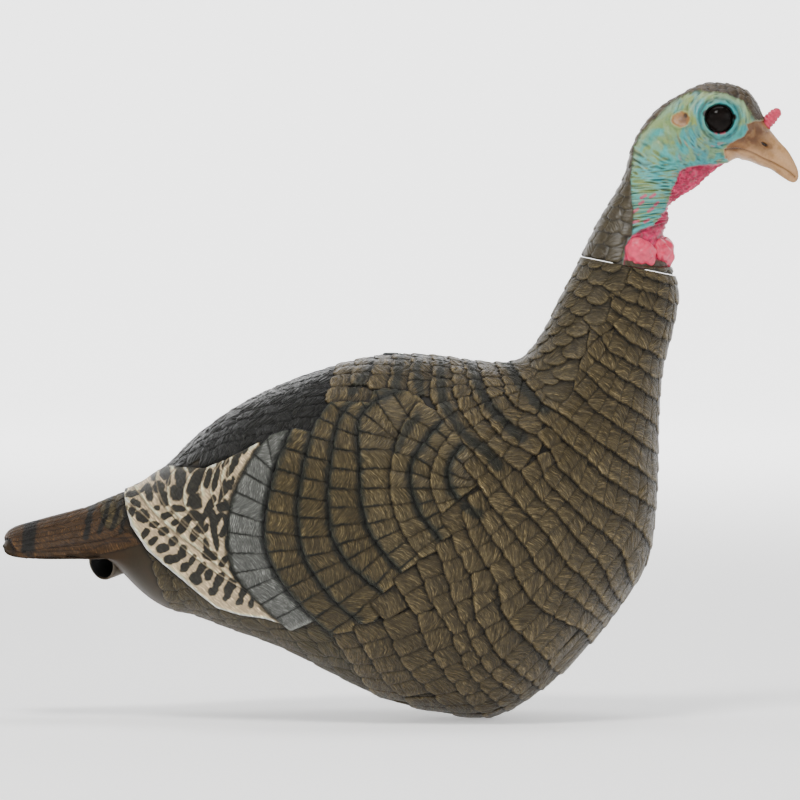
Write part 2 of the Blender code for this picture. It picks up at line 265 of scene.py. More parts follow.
# ---- the skin: a grid that feathers are pressed into -------------------------------
class Skin:
    def __init__(self, grid, inset=0.0):
        self.N = normals_of(grid)
        self.P = grid - self.N * inset
        self.ni, self.nj = grid.shape[:2]
        self.H = np.zeros(grid.shape[:2])
        self.C = np.zeros(grid.shape)
        self.G = np.full(grid.shape[:2], 0.6)
        self.F = np.zeros(grid.shape)
        self.x, self.y, self.z = (self.P[..., k] for k in range(3))

    def find(self, points, side=-1):
        """Grid places of points on the side elevation, on the -Y or +Y side."""
        half = self.nj // 2
        gx, gz = self.P[:, : half + 1, 0], self.P[:, : half + 1, 2]
        out = []
        for px, pz in points:
            d = (gx[::4, ::4] - px) ** 2 + (gz[::4, ::4] - pz) ** 2
            i, j = np.unravel_index(np.argmin(d), d.shape)
            i, j = 4 * i, 4 * j
            a0, a1, b0, b1 = max(i - 6, 0), i + 7, max(j - 6, 0), min(j + 7, half + 1)
            d = (gx[a0:a1, b0:b1] - px) ** 2 + (gz[a0:a1, b0:b1] - pz) ** 2
            u, v = np.unravel_index(np.argmin(d), d.shape)
            i, j = a0 + u, b0 + v
            out.append((i, j if side < 0 else (self.nj - j) % self.nj))
        return out

    def press(self, place, direction, length, half, look, base=0.0, lift=1.3, depth=5.0,
              power=2.6, groove=0.55, keep=None, round_off=0.45, barb=0.16, sweep=0.85,
              side=0.45, ragged=0.45):
        """One feather, its tip at `place`, pointing along `direction`."""
        i, j = int(place[0]), int(place[1]) % self.nj
        ni, nj = self.ni, self.nj
        n = self.N[i, j]
        d = direction - n * (direction @ n)
        size = np.linalg.norm(d)
        if size < 1e-6:
            return
        d = d / size
        e = np.cross(n, d)
        tip = self.P[i, j]
        i0, i1 = max(i - 1, 0), min(i + 1, ni - 1)
        ti = (self.P[i1, j] - self.P[i0, j]) / (i1 - i0)
        tj = (self.P[i, (j + 1) % nj] - self.P[i, j - 1]) / 2
        g = np.array([[ti @ ti, ti @ tj], [ti @ tj, tj @ tj]])
        try:
            gi = np.linalg.inv(g)
        except np.linalg.LinAlgError:
            return
        reach = []
        for b in (3.0, -length):
            for a in (half + 2.5, -half - 2.5):
                v = d * b + e * a
                reach.append(gi @ np.array([v @ ti, v @ tj]))
        reach = np.array(reach) * 1.3
        lo, hi = np.floor(reach.min(0)).astype(int), np.ceil(reach.max(0)).astype(int)
        lo[1], hi[1] = max(lo[1], -nj // 4), min(hi[1], nj // 4)
        ii = np.arange(max(0, i + lo[0]), min(ni, i + hi[0] + 1))
        jj = np.arange(j + lo[1], j + hi[1] + 1) % nj
        if len(ii) < 2 or len(jj) < 2:
            return
        ix = np.ix_(ii, jj)
        X = self.P[ix] - tip
        bb, aa, nn = X @ d, X @ e, X @ n
        b, a = 1 + bb / length, np.abs(aa) / half
        t = np.clip((bb + depth) / depth, 0, 3)
        f = 1 - a**power - t**2.2
        slope = np.hypot(power * a ** (power - 1) / half, 2.2 * t**1.2 / depth) + 0.02
        dist = np.clip(f / slope, -6, 40)
        dist = dist + ragged * (noise(X + tip, 1.7, 61) - 0.5) * 2
        near = np.abs(nn) < 0.7 * length
        alpha = np.clip(dist / 0.9 + 0.5, 0, 1) * smooth(b, 0.0, 0.12) * near
        # Painted shade: the groove just outside each feather's outline, weaker along its sides.
        rim = np.where(dist < 0, np.exp(dist / 0.8), 0) * (b > 0.3) * near
        rim = rim * (side + (1 - side) * smooth(t, 0.0, 0.5))
        if keep is not None:
            k = keep[ix]
            alpha, rim = alpha * k, rim * k
        rnd = RNG.random()
        slant = 2.2 * sweep * (RNG.random() - 0.5)
        phase = bb - slant * aa - 0.25 * sweep * np.abs(aa)
        phase = phase + 1.6 * (noise(X + tip, 4.0, 62) - 0.5)
        colour, rough = look(a, b, aa, bb, dist, rnd, X + tip)
        h = (
            base + lift * np.clip(b, 0, 1) ** 1.4 + 0.25 * (1 - np.clip(a, 0, 1) ** 2)
            - round_off * np.exp(-np.maximum(dist, 0) / 0.8)
        )
        if barb:
            q = [phase / 1.35, np.abs(aa) / 5 + 50 * rnd, np.full(aa.shape, 7 * rnd)]
            wave = 3.2 * (noise(np.stack(q, -1), 1.0, 17) - 0.5)
            h = h + barb * wave * smooth(dist, 0.3, 1.5)
        self.H[ix] = (self.H[ix] - 0.3 * rim) * (1 - alpha) + h * alpha
        A = alpha[..., None]
        # The groove outside the outline is darkened as painted shade, then the feather's own colour is laid on.
        self.C[ix] = self.C[ix] * (1 - groove * rim[..., None]) * (1 - A) + colour * A
        self.G[ix] = self.G[ix] * (1 - alpha) + rough * alpha
        inner = (alpha > 0.5)[..., None]
        fibre = np.stack(
            [phase, np.abs(aa), np.full(aa.shape, 40 * rnd)], -1
        )
        self.F[ix] = np.where(inner, fibre, self.F[ix])

    def stroke(self, line, width, colour, strength=1.0, soft=2.0, wobble=1.2, seed=3,
               where=None):
        """A brush stroke along a line of the side elevation, on both sides."""
        line = even(line, 3.0)
        near = (
            (self.x > line[:, 0].min() - width * 2 - 4) & (self.x < line[:, 0].max() + width * 2 + 4)
            & (self.z > line[:, 1].min() - width * 2 - 4) & (self.z < line[:, 1].max() + width * 2 + 4)
        )
        if where is not None:
            near &= where
        p = self.P[near]
        d, _, _ = nearest_on(line, p[:, 0], p[:, 2])
        d = d + wobble * (fractal(p, 4.0, seed) - 0.5) * 2
        k = (1 - smooth(d, width / 2, width / 2 + soft)) * strength
        self.C[near] = self.C[near] * (1 - k[:, None]) + np.array(colour) * k[:, None]


# ---- closed pieces cut from a skin -------------------------------------------------
def build(name, outer, inner, normal, skin, cells, wrap=True):
    """The skin over a set of Q by Q squares, with its inner face and its walls."""
    ni, nj = outer.shape[:2]
    ci, cj = (ni - 1) // Q, nj // Q
    on = np.argwhere(cells)
    u = np.arange(Q)
    I = (on[:, 0, None, None] * Q + u[None, :, None]) + np.zeros((1, 1, Q), int)
    J = (on[:, 1, None, None] * Q + u[None, None, :]) + np.zeros((1, Q, 1), int)
    I, J = I.ravel(), J.ravel()
    key = lambda i, j: i * nj + (j % nj)
    quads = np.stack([key(I, J), key(I + 1, J), key(I + 1, J + 1), key(I, J + 1)], 1)
    a, b = on[:, 0] * Q, on[:, 1] * Q
    off = ni * nj
    low = off + np.stack([key(a, b), key(a, b + Q), key(a + Q, b + Q), key(a + Q, b)], 1)
    walls = []
    has = set(map(tuple, on))
    for c, k in has:
        i, j = c * Q, k * Q
        steps = np.arange(Q + 1)
        if (c, (k - 1) % cj) not in has:
            walls.append(np.r_[key(i + steps[::-1], j), off + key(i, j), off + key(i + Q, j)])
        if (c, (k + 1) % cj) not in has:
            walls.append(np.r_[key(i + steps, j + Q), off + key(i + Q, j + Q), off + key(i, j + Q)])
        if (c - 1, k) not in has:
            walls.append(np.r_[key(i, j + steps), off + key(i, j + Q), off + key(i, j)])
        if (c + 1, k) not in has:
            walls.append(np.r_[key(i + Q, j + steps[::-1]), off + key(i + Q, j), off + key(i + Q, j + Q)])
    walls.sort(key=lambda w: tuple(w))
    walls = np.array(walls)
    i, j = np.array((ni // 2,)), np.array((nj // 4,))
    A, B, D = outer[ni // 2, nj // 4], outer[ni // 2 + 1, nj // 4], outer[ni // 2, nj // 4 + 1]
    flip = np.cross(B - A, D - A) @ normal[ni // 2, nj // 4] < 0
    if flip:
        quads, low, walls = quads[:, ::-1], low[:, ::-1], walls[:, ::-1]
    used = np.unique(np.concatenate([quads.ravel(), low.ravel(), walls.ravel()]))
    new = np.full(2 * off, -1)
    new[used] = np.arange(len(used))
    flat_o, flat_i = outer.reshape(-1, 3), inner.reshape(-1, 3)
    co = np.concatenate([flat_o, flat_i])[used] * MM
    loops = new[np.concatenate([quads.ravel(), low.ravel(), walls.ravel()])]
    total = np.concatenate([
        np.full(len(quads), 4), np.full(len(low), 4), np.full(len(walls), walls.shape[1])
    ])
    start = np.concatenate([[0], np.cumsum(total)[:-1]])
    mesh = bpy.data.meshes.new(name)
    mesh.vertices.add(len(co))
    mesh.vertices.foreach_set("co", co.astype(np.float32).ravel())
    mesh.loops.add(len(loops))
    mesh.loops.foreach_set("vertex_index", loops.astype(np.int32))
    mesh.polygons.add(len(total))
    mesh.polygons.foreach_set("loop_start", start.astype(np.int32))
    mesh.polygons.foreach_set("loop_total", total.astype(np.int32))
    mesh.update(calc_edges=True)
    mesh.validate()
    mesh.polygons.foreach_set("use_smooth", np.ones(len(mesh.polygons), bool))

    def attribute(title, kind, values, field, flat):
        both = np.concatenate([values.reshape(off, -1), values.reshape(off, -1)])[used]
        if kind == "FLOAT_COLOR":
            both = np.concatenate([both, np.ones((len(both), 1))], 1)
        at = mesh.attributes.new(title, kind, "POINT")
        at.data.foreach_set(field, both.astype(np.float32).ravel())

    attribute("tint", "FLOAT_COLOR", skin.C, "color", 3)
    attribute("gloss", "FLOAT", skin.G, "value", 1)
    attribute("fibre", "FLOAT_VECTOR", skin.F, "vector", 3)
    n = np.concatenate([normal.reshape(-1, 3), -normal.reshape(-1, 3)])[used]
    mesh.normals_split_custom_set_from_vertices(n.astype(np.float32).tolist())
    ob = bpy.data.objects.new(name, mesh)
    bpy.context.scene.collection.objects.link(ob)
    return ob


def trim(points, side):
    """Keeps a skin on its own side of the head's seam, with a running gap between."""
    across = (points - SEAM) @ SEAM_AXIS
    over = np.clip((0.25 if side > 0 else 0.15) - side * across, 0, None)
    over = over * (np.linalg.norm(points - SEAM, axis=-1) < 60)
    return points + side * over[..., None] * SEAM_AXIS


def finished(skin, thickness, round_holes=()):
    """Displaced outer grid, inner wall and shading normals of a skin."""
    outer = skin.P + skin.N * skin.H[..., None]
    inner = skin.P - skin.N * thickness
    return outer, inner, normals_of(outer)


# ---- layout lines of the body ------------------------------------------------------
# Feather rows, numbered from the throat back: where each row's tips lie.
ROWS = [
    (1, [(639, 266.5), (662, 276.5)]),
    (2, [(624, 274), (645.6, 286), (662, 290.6)]),
    (3, [(614, 290), (650, 303), (662, 311)]),
    (4, [(610, 303), (645, 324.6), (658, 332)]),
    (5, [(612, 323), (644, 346), (653, 350)]),
    (6, [(599, 333), (609, 349.5), (635.6, 364), (647, 371)]),
    (7, [(589, 352.8), (609, 367.7), (632, 384)]),
    (8, [(581, 371), (604, 394), (630.7, 409)]),
    (9, [(577.6, 397.5), (604, 419), (630.7, 439)]),
    (10, [(508, 368), (523, 387.6), (541, 407.5), (567.6, 424), (589, 440.7), (625.7, 467)]),
    (11, [(496, 376), (499.7, 397.5), (513, 410.8), (531, 417), (549, 432), (579, 459),
          (604, 484), (642, 508)]),
    (12, [(471.5, 367.7), (479.8, 392.6), (496, 415.8), (519.6, 434), (549, 468),
          (576, 493.7), (614, 521), (635, 541)]),
    (13, [(460, 373), (470, 406), (488, 432), (508, 449), (529, 460), (556, 498.7),
          (606, 549), (620, 586)]),
    (14, [(441.6, 367.7), (440, 389), (455, 419), (480, 445.6), (508, 476), (546, 515),
          (576, 554), (596, 576)]),
    (15, [(491, 486), (516, 518), (546, 558), (582, 592)]),
    (16.2, [(473, 503), (493, 531), (516, 568), (546, 602), (586, 627)]),
    (17.3, [(460, 510), (471, 538), (493, 576), (523, 634), (552, 669)]),
    (18.4, [(445, 531), (463, 568), (470, 609), (493, 652), (531, 684)]),
    (19.5, [(431, 553), (438, 581), (458, 617), (475, 657), (506, 692)]),
    (21.3, [(405, 609), (417, 642), (438, 671), (461, 699)]),
    (23.6, [(345, 640), (358, 662), (375, 688)]),
    (26, [(285, 620), (300, 642), (320, 668)]),
    (28.2, [(232, 608), (243, 624), (258, 640)]),
    (30.3, [(185, 580), (193, 594), (205, 610)]),
    (32.5, [(140, 545), (147, 560), (152, 580)]),
    (15.2, [(415, 356), (412, 385)]),
    (17, [(380, 360), (372, 392)]),
    (19, [(340, 364), (330, 392)]),
    (20.7, [(305, 378), (294, 402)]),
    (22.8, [(265, 395), (252, 425)]),
    (25, [(225, 418), (215, 445)]),
    (27, [(190, 441), (182, 460)]),
    (29, [(160, 468)]),
    (31, [(130, 488), (128, 505)]),
    (33, [(92, 505), (90, 525)]),
    (35.5, [(40, 522), (40, 548)]),
]
BAND_EDGE = [(301, 430), (275, 433), (256, 455), (238, 489), (232, 519), (233, 547),
             (240, 569), (261, 594), (285, 617)]
WING_ROWS = [  # tips' line, feather width, reach back, dark tip width
    ([(291, 436), (280, 461), (271, 498), (268, 523), (271, 547), (283, 571), (303, 596),
      (320, 614), (337, 630)], 15.5, 44, 3.0),
    ([(357, 388), (336, 398), (318, 421), (310, 445), (302, 483), (301, 514), (306, 547),
      (320, 571), (336, 592), (361, 612)], 15.0, 42, 2.6),
    ([(386, 388), (369, 393), (346, 410), (335, 440), (330, 489), (334, 528), (346, 551),
      (359, 564), (381, 582)], 14.5, 42, 2.6),
    ([(402, 390), (382, 398), (368, 407), (359, 424), (361, 463), (362, 493), (369, 521),
      (386, 547), (404, 566)], 14.0, 42, 2.4),
    ([(412, 408), (398, 432), (391, 465), (391, 490), (398, 515), (409, 536), (420, 550)],
     13.5, 36, 0.0),
    ([(440, 420), (425, 437), (411, 460), (411, 483), (421, 509), (438, 530)],
     13.0, 34, 3.0),
    ([(462, 420), (445, 437), (432, 460), (430, 482), (440, 505), (450, 516)],
     12.5, 30, 0.0),
    ([(480, 425), (463, 440), (449, 457), (448, 480), (462, 500)], 12.0, 20, 3.4),
]
WING = sq([
    (125, 491), (134, 524), (150, 546), (185, 574), (219, 602), (243, 609), (268, 612),
    (285, 617), (336, 629), (339, 630), (369, 614), (397, 587), (416, 572), (427, 549),
    (441, 531), (452, 511), (466, 503), (474, 480), (466, 445), (440, 410), (400, 385),
    (357, 380), (325, 395), (308, 425), (275, 433), (255, 446), (231, 457), (209, 466),
    (173, 466), (151, 477),
])
PRIMARIES = sq([
    (125, 491), (128, 507), (134, 524), (150, 546), (185, 574), (219, 602), (243, 609),
    (268, 612), (290, 619), (268, 594), (250, 569), (245, 547), (245, 519), (250, 489),
    (268, 450), (262, 440), (231, 457), (209, 466), (173, 466), (151, 477),
])
RUMP = sq([
    (130, 480), (150, 470), (176, 440), (200, 420), (240, 390), (280, 370), (323, 350),
    (326, 383), (320, 399), (305, 424), (299, 432), (275, 433), (255, 448), (231, 460),
    (209, 469), (173, 470), (140, 490),
])
NAPE = sq([
    (560, 200), (640, 200), (622, 262), (604, 306), (592, 335), (586, 352), (574, 372),
    (566, 390), (546, 402), (524, 385), (515, 360), (500, 340),
])
MANTLE_BANDS = [
    ([(441, 362), (440, 389), (447, 408), (463, 431), (485, 449), (496, 462)], 5.0),
    ([(470, 362), (480, 392), (491, 408), (506, 424), (520, 435)], 5.0),
    ([(506, 362), (518, 382), (530, 397), (543, 409)], 5.0),
    ([(402, 352), (398, 372), (396, 388)], 4.2),
    ([(420, 352), (417, 372), (421, 392)], 3.6),
    ([(375, 358), (366, 376), (352, 390)], 3.6),
]

OLIVE = srgb(82, 73, 55)
OLIVE_LOW = srgb(74, 67, 50)
SOOT = srgb(24, 24, 21)
GREY = srgb(107, 108, 104)
CREAM = srgb(206, 187, 157) * 1.3
CHESTNUT = srgb(92, 69, 47)
UNDER = srgb(72, 64, 47)


def look(base, tip=None, tip_width=0.0, variety=0.2, rough=0.5, streak=0.3, root=0.72,
         edge=0.0, patches=0.0):
    """How a feather is painted: ground, scratchy barbs, dark tip, painted shade towards the covered root, and a
    painted highlight along its edge, which a negative `edge` turns into painted shade.
    """
    base = np.array(base)

    def paint(a, b, aa, bb, dist, rnd, X):
        q = np.stack([(bb - 1.6 * (rnd - 0.5) * aa) / 0.9, aa / 7.0 + 90 * rnd,
                      np.full(aa.shape, 31 * rnd)], -1)
        s = noise(q, 1.0, 5)
        tone = (1 + variety * (rnd - 0.5)) * (1 + streak * (s - 0.5))
        # Painted shade towards the feather's covered root.
        tone = tone * (root + (1 - root) * smooth(b, 0.35, 0.75))
        # Painted highlight along the feather's edge; a negative `edge` paints shade there instead.
        tone = tone * (1 + edge * np.exp(-np.maximum(dist, 0) / 0.9))
        if patches:
            tone = tone * (1 + patches * (noise(X, 9.0, 8) - 0.5))
        c = base * tone[..., None]
        if tip is not None and tip_width > 0:
            w = tip_width * (0.75 + 0.5 * noise(X, 3.0, 2))
            k = (1 - smooth(dist, 0.55 * w, w + 0.2)) * smooth(b, 0.55, 0.75)
            c = c * (1 - k[..., None]) + np.array(tip) * k[..., None]
        r = rough + 0.12 * (s - 0.5)
        return c, r

    return paint


# ---- the body ------------------------------------------------------------------------
S = Skin(loft(BODY, NI, NJ), inset=0.7)
# The tail's end closes in a rounded edge.
tail_end = S.P[0, :, :].copy()
for i in range(0, 5):
    t = math.sqrt(max(0.0, 1 - (1 - i / 5) ** 2))
    middle = S.P[i, :, 2].mean()
    S.P[i, :, 2] = middle + (S.P[i, :, 2] - middle) * t
S.x, S.y, S.z = (S.P[..., k] for k in range(3))
HALF = S.nj // 2


def thin_plate(table):
    """A smooth field over the side elevation through the numbered lines."""
    pts = np.concatenate([sq(line) for _, line in table]) / 100
    val = np.concatenate([np.full(len(line), float(k)) for k, line in table])
    n = len(pts)

    def basis(d2):
        return np.where(d2 > 1e-12, 0.5 * d2 * np.log(np.maximum(d2, 1e-12)), 0.0)

    d2 = ((pts[:, None] - pts[None]) ** 2).sum(-1)
    K = basis(d2) + 0.0015 * np.eye(n)
    A = np.zeros((n + 3, n + 3))
    A[:n, :n] = K
    A[:n, n] = A[n, :n] = 1
    A[:n, n + 1 :] = pts
    A[n + 1 :, :n] = pts.T
    w = np.linalg.solve(A, np.concatenate([val, np.zeros(3)]))

    def field(x, z):
        shape = x.shape
        u = np.stack([x.ravel(), z.ravel()], 1) / 100
        out = np.empty(len(u))
        for s in range(0, len(u), 20000):
            v = u[s : s + 20000]
            d2 = ((v[:, None] - pts[None]) ** 2).sum(-1)
            out[s : s + 20000] = basis(d2) @ w[:n] + w[n] + v @ w[n + 1 :]
        return out.reshape(shape)

    return field


field = thin_plate(ROWS)
low = field(S.x[::2, : HALF + 1 : 2], S.z[::2, : HALF + 1 : 2])
R = np.empty((S.ni, HALF + 1))
R[::2, ::2] = low
R[1::2, ::2] = (low[:-1] + low[1:]) / 2
R[:, 1::2] = (R[:, :-2:2] + R[:, 2::2]) / 2
R = np.concatenate([R, R[:, 1:-1][:, ::-1]], 1)


def slope_at(i, j):
    """Direction in which the rows count up, and the width of one row, at a place."""
    i0, i1 = max(i - 2, 0), min(i + 2, S.ni - 1)
    j0, j1 = (j - 2) % S.nj, (j + 2) % S.nj
    ti, tj = (S.P[i1, j] - S.P[i0, j]) / (i1 - i0), (S.P[i, j1] - S.P[i, j0]) / 4
    ri, rj = (R[i1, j] - R[i0, j]) / (i1 - i0), (R[i, j1] - R[i, j0]) / 4
    g = np.array([[ti @ ti, ti @ tj], [ti @ tj, tj @ tj]])
    u, v = np.linalg.solve(g, (ri, rj))
    up = ti * u + tj * v
    size = np.linalg.norm(up) + 1e-9
    return up / size, 1 / size


def row_tips(k, width, shift):
    """Places of one row's feather tips, from the middle of the back to the keel."""
    over = R[:, : HALF + 1] > k
    last = S.ni - 1 - np.argmax(over[::-1], axis=0)
    fine = over.any(0) & (last < S.ni - 1) & (last > 0)
    p = S.P[last, np.arange(HALF + 1)]
    step = np.linalg.norm(np.diff(p, axis=0), axis=1)
    run = np.concatenate([[0], np.cumsum(np.where(step > 12, 0, step))])
    out = []
    at = shift * width
    while at < run[-1]:
        j = int(np.searchsorted(run, at))
        if j <= HALF and fine[j]:
            out.append((int(last[j]), j))
        at += width * (1 + 0.22 * (RNG.random() - 0.5))
    return out


def lay_rows(numbers, width_of, accept, dress):
    """Presses rows of feathers on both sides, from the last row forwards."""
    for k in sorted(numbers, reverse=True):
        shift = 0.0 if int(k) % 2 else 0.5
        width = width_of(k)
        for i, j in row_tips(k, width, shift):
            for side in (-1, 1):
                if side > 0 and (j == 0 or j == HALF):
                    continue
                jj = j if side < 0 else (S.nj - j) % S.nj
                x, y, z = S.P[i, jj]
                if not accept(k, x, z, j):
                    continue
                d, pitch = slope_at(i, jj)
                pitch = min(max(pitch, 7.0), 24.0)
                turn = 0.26 * (RNG.random() - 0.5)
                n = S.N[i, jj]
                d = d * math.cos(turn) + np.cross(n, d) * math.sin(turn)
                dress(k, (i, jj), d, pitch, width, x, z, j)


def in_poly(poly, x, z):
    return bool(inside(poly, np.array([x]), np.array([z]))[0])


# Ground colours before any feather.
S.C[:] = UNDER
S.G[:] = 0.62
px_x = lambda v: 0.75 * (v - 391)
tail_zone = smooth(-S.x, -px_x(140), -px_x(118))[..., None]
S.C[:] = S.C * (1 - tail_zone) + CHESTNUT * tail_zone
under_brown = (smooth(-S.x, -px_x(215), -px_x(150)) * 0.6)[..., None]
S.C[:] = S.C * (1 - under_brown) + srgb(70, 56, 39) * under_brown

# Tail feathers: long overlapping quills fanned on the upper face and below.
long_look = look(CHESTNUT, tip=srgb(60, 42, 30), tip_width=1.0, variety=0.16, rough=0.55,
                 streak=0.35, root=0.9, edge=-0.25)
for face in ("under", "top"):
    for rank in range(7, -1, -1):
        for side in (-1, 1):
            if rank == 0 and side > 0:
                continue
            lateral = 4.6 * rank * (0.93 if face == "top" else 0.9)
            tip_x = -289.5 + 0.055 * lateral**1.55
            column = S.P[:, : HALF + 1]
            i = int(np.argmin(np.abs(S.P[:, HALF // 2, 0] - tip_x)))
            half_ring = S.P[i, : HALF + 1, 1]
            top_part = np.arange(HALF + 1) < HALF * 0.5
            score = np.abs(-half_ring - lateral) + np.where(
                top_part if face == "top" else ~top_part, 0, 999
            )
            j = int(np.argmin(score))
            jj = j if side < 0 else (S.nj - j) % S.nj
            S.press((i, jj), np.array((-1.0, side * 0.02 * rank, 0.04)), 118, 7.2, long_look,
                    base=0.1 + (0.35 if face == "top" else 0), lift=0.9, depth=9, power=3.5,
                    groove=0.45, barb=0.05, sweep=1.6)

# Rear belly and under-tail: long soft feathers.
soft_look = look(UNDER, variety=0.12, rough=0.6, streak=0.26, root=0.9, patches=0.2)
brown_look = look(srgb(70, 56, 39), variety=0.12, rough=0.6, streak=0.3, root=0.9)


def widths(k):
    return float(np.interp(k, [0, 5, 10, 14, 20, 26, 33], [12.0, 13.0, 14.5, 15.5, 17.5, 18, 16]))


def dress_rear(k, place, d, pitch, width, x, z, j):
    paint = brown_look if x < px_x(150) else soft_look
    S.press(place, d, 2.6 * pitch, 0.60 * width, paint, base=0.0, lift=1.0, depth=9,
            power=2.3, groove=0.26, barb=0.08)


def low_side(x, z):
    """True below the wing's lower edge."""
    line = sq([(60, 500), (125, 500), (150, 546), (219, 602), (285, 617), (345, 632)])
    return z < np.interp(x, line[:, 0], line[:, 1]) + 6


lay_rows(range(24, 33), widths,
         lambda k, x, z, j: x < px_x(345) and low_side(x, z) and x > px_x(118), dress_rear)

flank_look = look(OLIVE_LOW, variety=0.14, rough=0.55, streak=0.34, root=0.8, edge=0.22)


def dress_flank(k, place, d, pitch, width, x, z, j):
    S.press(place, d, 2.3 * pitch, 0.56 * width, flank_look, lift=1.1, depth=6.5,
            power=2.4, groove=0.32)


lay_rows(range(20, 27), widths,
         lambda k, x, z, j: px_x(225) < x < px_x(352) and low_side(x, z), dress_flank)

# Tail coverts and rump on the upper side.
covert_look = look(srgb(98, 88, 66), variety=0.12,
                   rough=0.55, streak=0.35, root=0.85)
rump_look = look(SOOT, variety=0.25, rough=0.42, streak=0.75, root=0.8, edge=0.25)


def upper_rear(x, z):
    line = sq([(60, 528), (88, 532), (118, 530), (134, 500), (151, 477), (209, 466),
               (255, 448), (301, 430), (330, 400)])
    return z > np.interp(x, line[:, 0], line[:, 1])


def dress_rump(k, place, d, pitch, width, x, z, j):
    if x < px_x(132):
        S.press(place, d, 2.4 * pitch, 0.62 * width, covert_look, base=0.15, lift=0.4,
                depth=6, power=2.3, groove=0.1)
    else:
        S.press(place, d, 2.5 * pitch, 0.60 * width, rump_look, base=0.2, lift=1.0,
                depth=6.5, power=2.0, groove=0.2, barb=0.34, sweep=1.1)




def dark_rump(x, z):
    """True on the tail side of the line where the black rump meets the brown mantle."""
    line = sq([(300, 436), (301, 430), (309, 405), (319, 385), (328, 362), (331, 340)])
    return x < np.interp(z, line[:, 1], line[:, 0])


lay_rows([18 + 0.85 * k for k in range(20)], lambda k: 11.5,
         lambda k, x, z, j: px_x(84) < x and dark_rump(x, z) and upper_rear(x, z), dress_rump)


# ---- wings -----------------------------------------------------------------------------
def edge_distance(poly, x, z):
    """Distance inside a polygon's edge; negative outside."""
    closed = np.concatenate([poly, poly[:1]])
    d, _, _ = nearest_on(closed, x, z)
    return np.where(inside(poly, x, z), d, -d)


on_side = (S.N[..., 1] ** 2 > 0.02)
# The folded wing is a low plate; its long flight feathers show behind the grey band.
flight = edge_distance(PRIMARIES, S.x, S.z)
wob = 0.5 * (fractal(S.P, 7.0, 21) - 0.5)
plate = smooth(flight + wob, -0.5, 0.6)
shadow = np.where(flight < 0, np.exp(flight / 1.3), 0)
S.C *= (1 - 0.75 * shadow)[..., None]
S.H -= 0.5 * shadow


def tip_sheet(points):
    """The wing tip is drawn 8.25 times larger, from the square (110, 423)."""
    p = np.array(points, float) / 8.25 + np.array((110, 423))
    return sq(p)


QUILLS = [  # edges of the flight feathers, tip to root
    [(130, 640), (270, 720), (420, 830), (560, 930), (740, 1060), (900, 1170), (1100, 1290),
     (1300, 1400)],
    [(200, 530), (270, 590), (400, 720), (560, 850), (760, 990), (900, 1100), (1050, 1230)],
    [(400, 330), (405, 460), (470, 640), (600, 770), (760, 900), (880, 1010), (1000, 1130)],
    [(575, 385), (525, 460), (515, 560), (545, 680), (640, 770), (800, 900)],
    [(825, 320), (705, 415), (655, 530), (660, 650), (720, 745), (850, 900)],
    [(905, 305), (830, 380), (795, 480), (800, 560)],
    [(975, 275), (900, 390), (870, 520), (900, 640)],
    [(1040, 220), (985, 330), (960, 460), (980, 590)],
    [(1110, 165), (1060, 240), (1020, 330), (1010, 420)],
]
BARS = [  # dark bars: centre, half length, half width, lean in degrees
    (225, 508, 26, 20, 0), (285, 460, 40, 26, -30), (380, 436, 45, 24, 80),
    (485, 410, 54, 40, 80), (600, 350, 34, 26, -20), (712, 358, 42, 32, 70),
    (622, 440, 66, 40, 85), (592, 560, 50, 50, 0), (352, 575, 62, 28, 75),
    (436, 530, 44, 38, 20), (480, 612, 55, 32, 80), (425, 690, 26, 20, 10),
    (205, 598, 58, 20, -15), (240, 665, 42, 24, 10), (212, 728, 30, 26, 60),
    (303, 757, 50, 42, 15), (755, 450, 120, 38, -62), (742, 620, 58, 46, 70),
    (850, 440, 72, 20, -74), (912, 440, 88, 18, -78), (962, 530, 86, 16, -76),
    (604, 684, 52, 24, -5), (512, 742, 46, 22, -24), (580, 795, 34, 18, -30),
    (655, 805, 84, 30, -60), (752, 735, 62, 34, 20), (757, 852, 86, 26, -58),
    (845, 680, 84, 20, -66), (828, 832, 46, 18, -60), (888, 740, 60, 28, 70),
    (902, 880, 110, 22, 80), (958, 660, 42, 32, -20), (862, 1040, 54, 34, 10),
    (832, 965, 52, 20, 80), (972, 1090, 46, 24, -55), (402, 820, 42, 20, -10),
    (330, 892, 42, 20, -55), (482, 868, 40, 26, -20), (396, 945, 42, 20, -32),
    (562, 940, 38, 28, -45), (474, 1000, 52, 28, -20), (636, 1022, 54, 26, -65),
    (552, 1082, 62, 28, -12), (716, 1082, 44, 18, -62), (650, 1145, 44, 26, -45),
    (788, 1150, 56, 26, -50), (742, 1232, 46, 40, 45), (846, 1200, 44, 26, -70),
    (932, 1245, 66, 28, -60), (884, 1325, 48, 28, -48), (1022, 1290, 66, 32, -62),
    (992, 1372, 36, 20, -50), (1126, 1330, 48, 24, -64), (1096, 1412, 34, 20, -50),
    (1192, 1420, 42, 20, -72), (1078, 275, 62, 22, -66), (1035, 365, 52, 18, -62),
    (1002, 505, 62, 20, -66), (1150, 205, 40, 16, -60), (1060, 1180, 60, 20, 60),
    (1000, 290, 66, 15, -64), (938, 322, 58, 15, -70), (1108, 222, 58, 13, -60),
    (1062, 168, 44, 14, -55), (882, 628, 58, 20, -70), (1042, 470, 50, 12, -74),
    (1002, 640, 50, 16, 66), (930, 742, 46, 20, -40), (1000, 770, 52, 20, 72),
    (968, 850, 46, 20, -70), (1012, 945, 52, 20, 76), (1062, 1040, 46, 18, 62),
    (700, 640, 34, 16, -50), (300, 560, 34, 14, -50), (140, 560, 24, 14, 70),
    (520, 470, 18, 40, 10), (1120, 1250, 40, 14, 60),
]
near = plate > 0.01
p = S.P[near]
px, pz = p[:, 0], p[:, 2]
warp_x = px + 2.1 * (fractal(p, 3.2, 31, 2) - 0.5)
warp_z = pz + 2.1 * (fractal(p, 3.2, 57, 2) - 0.5)
dark = np.zeros(len(p))
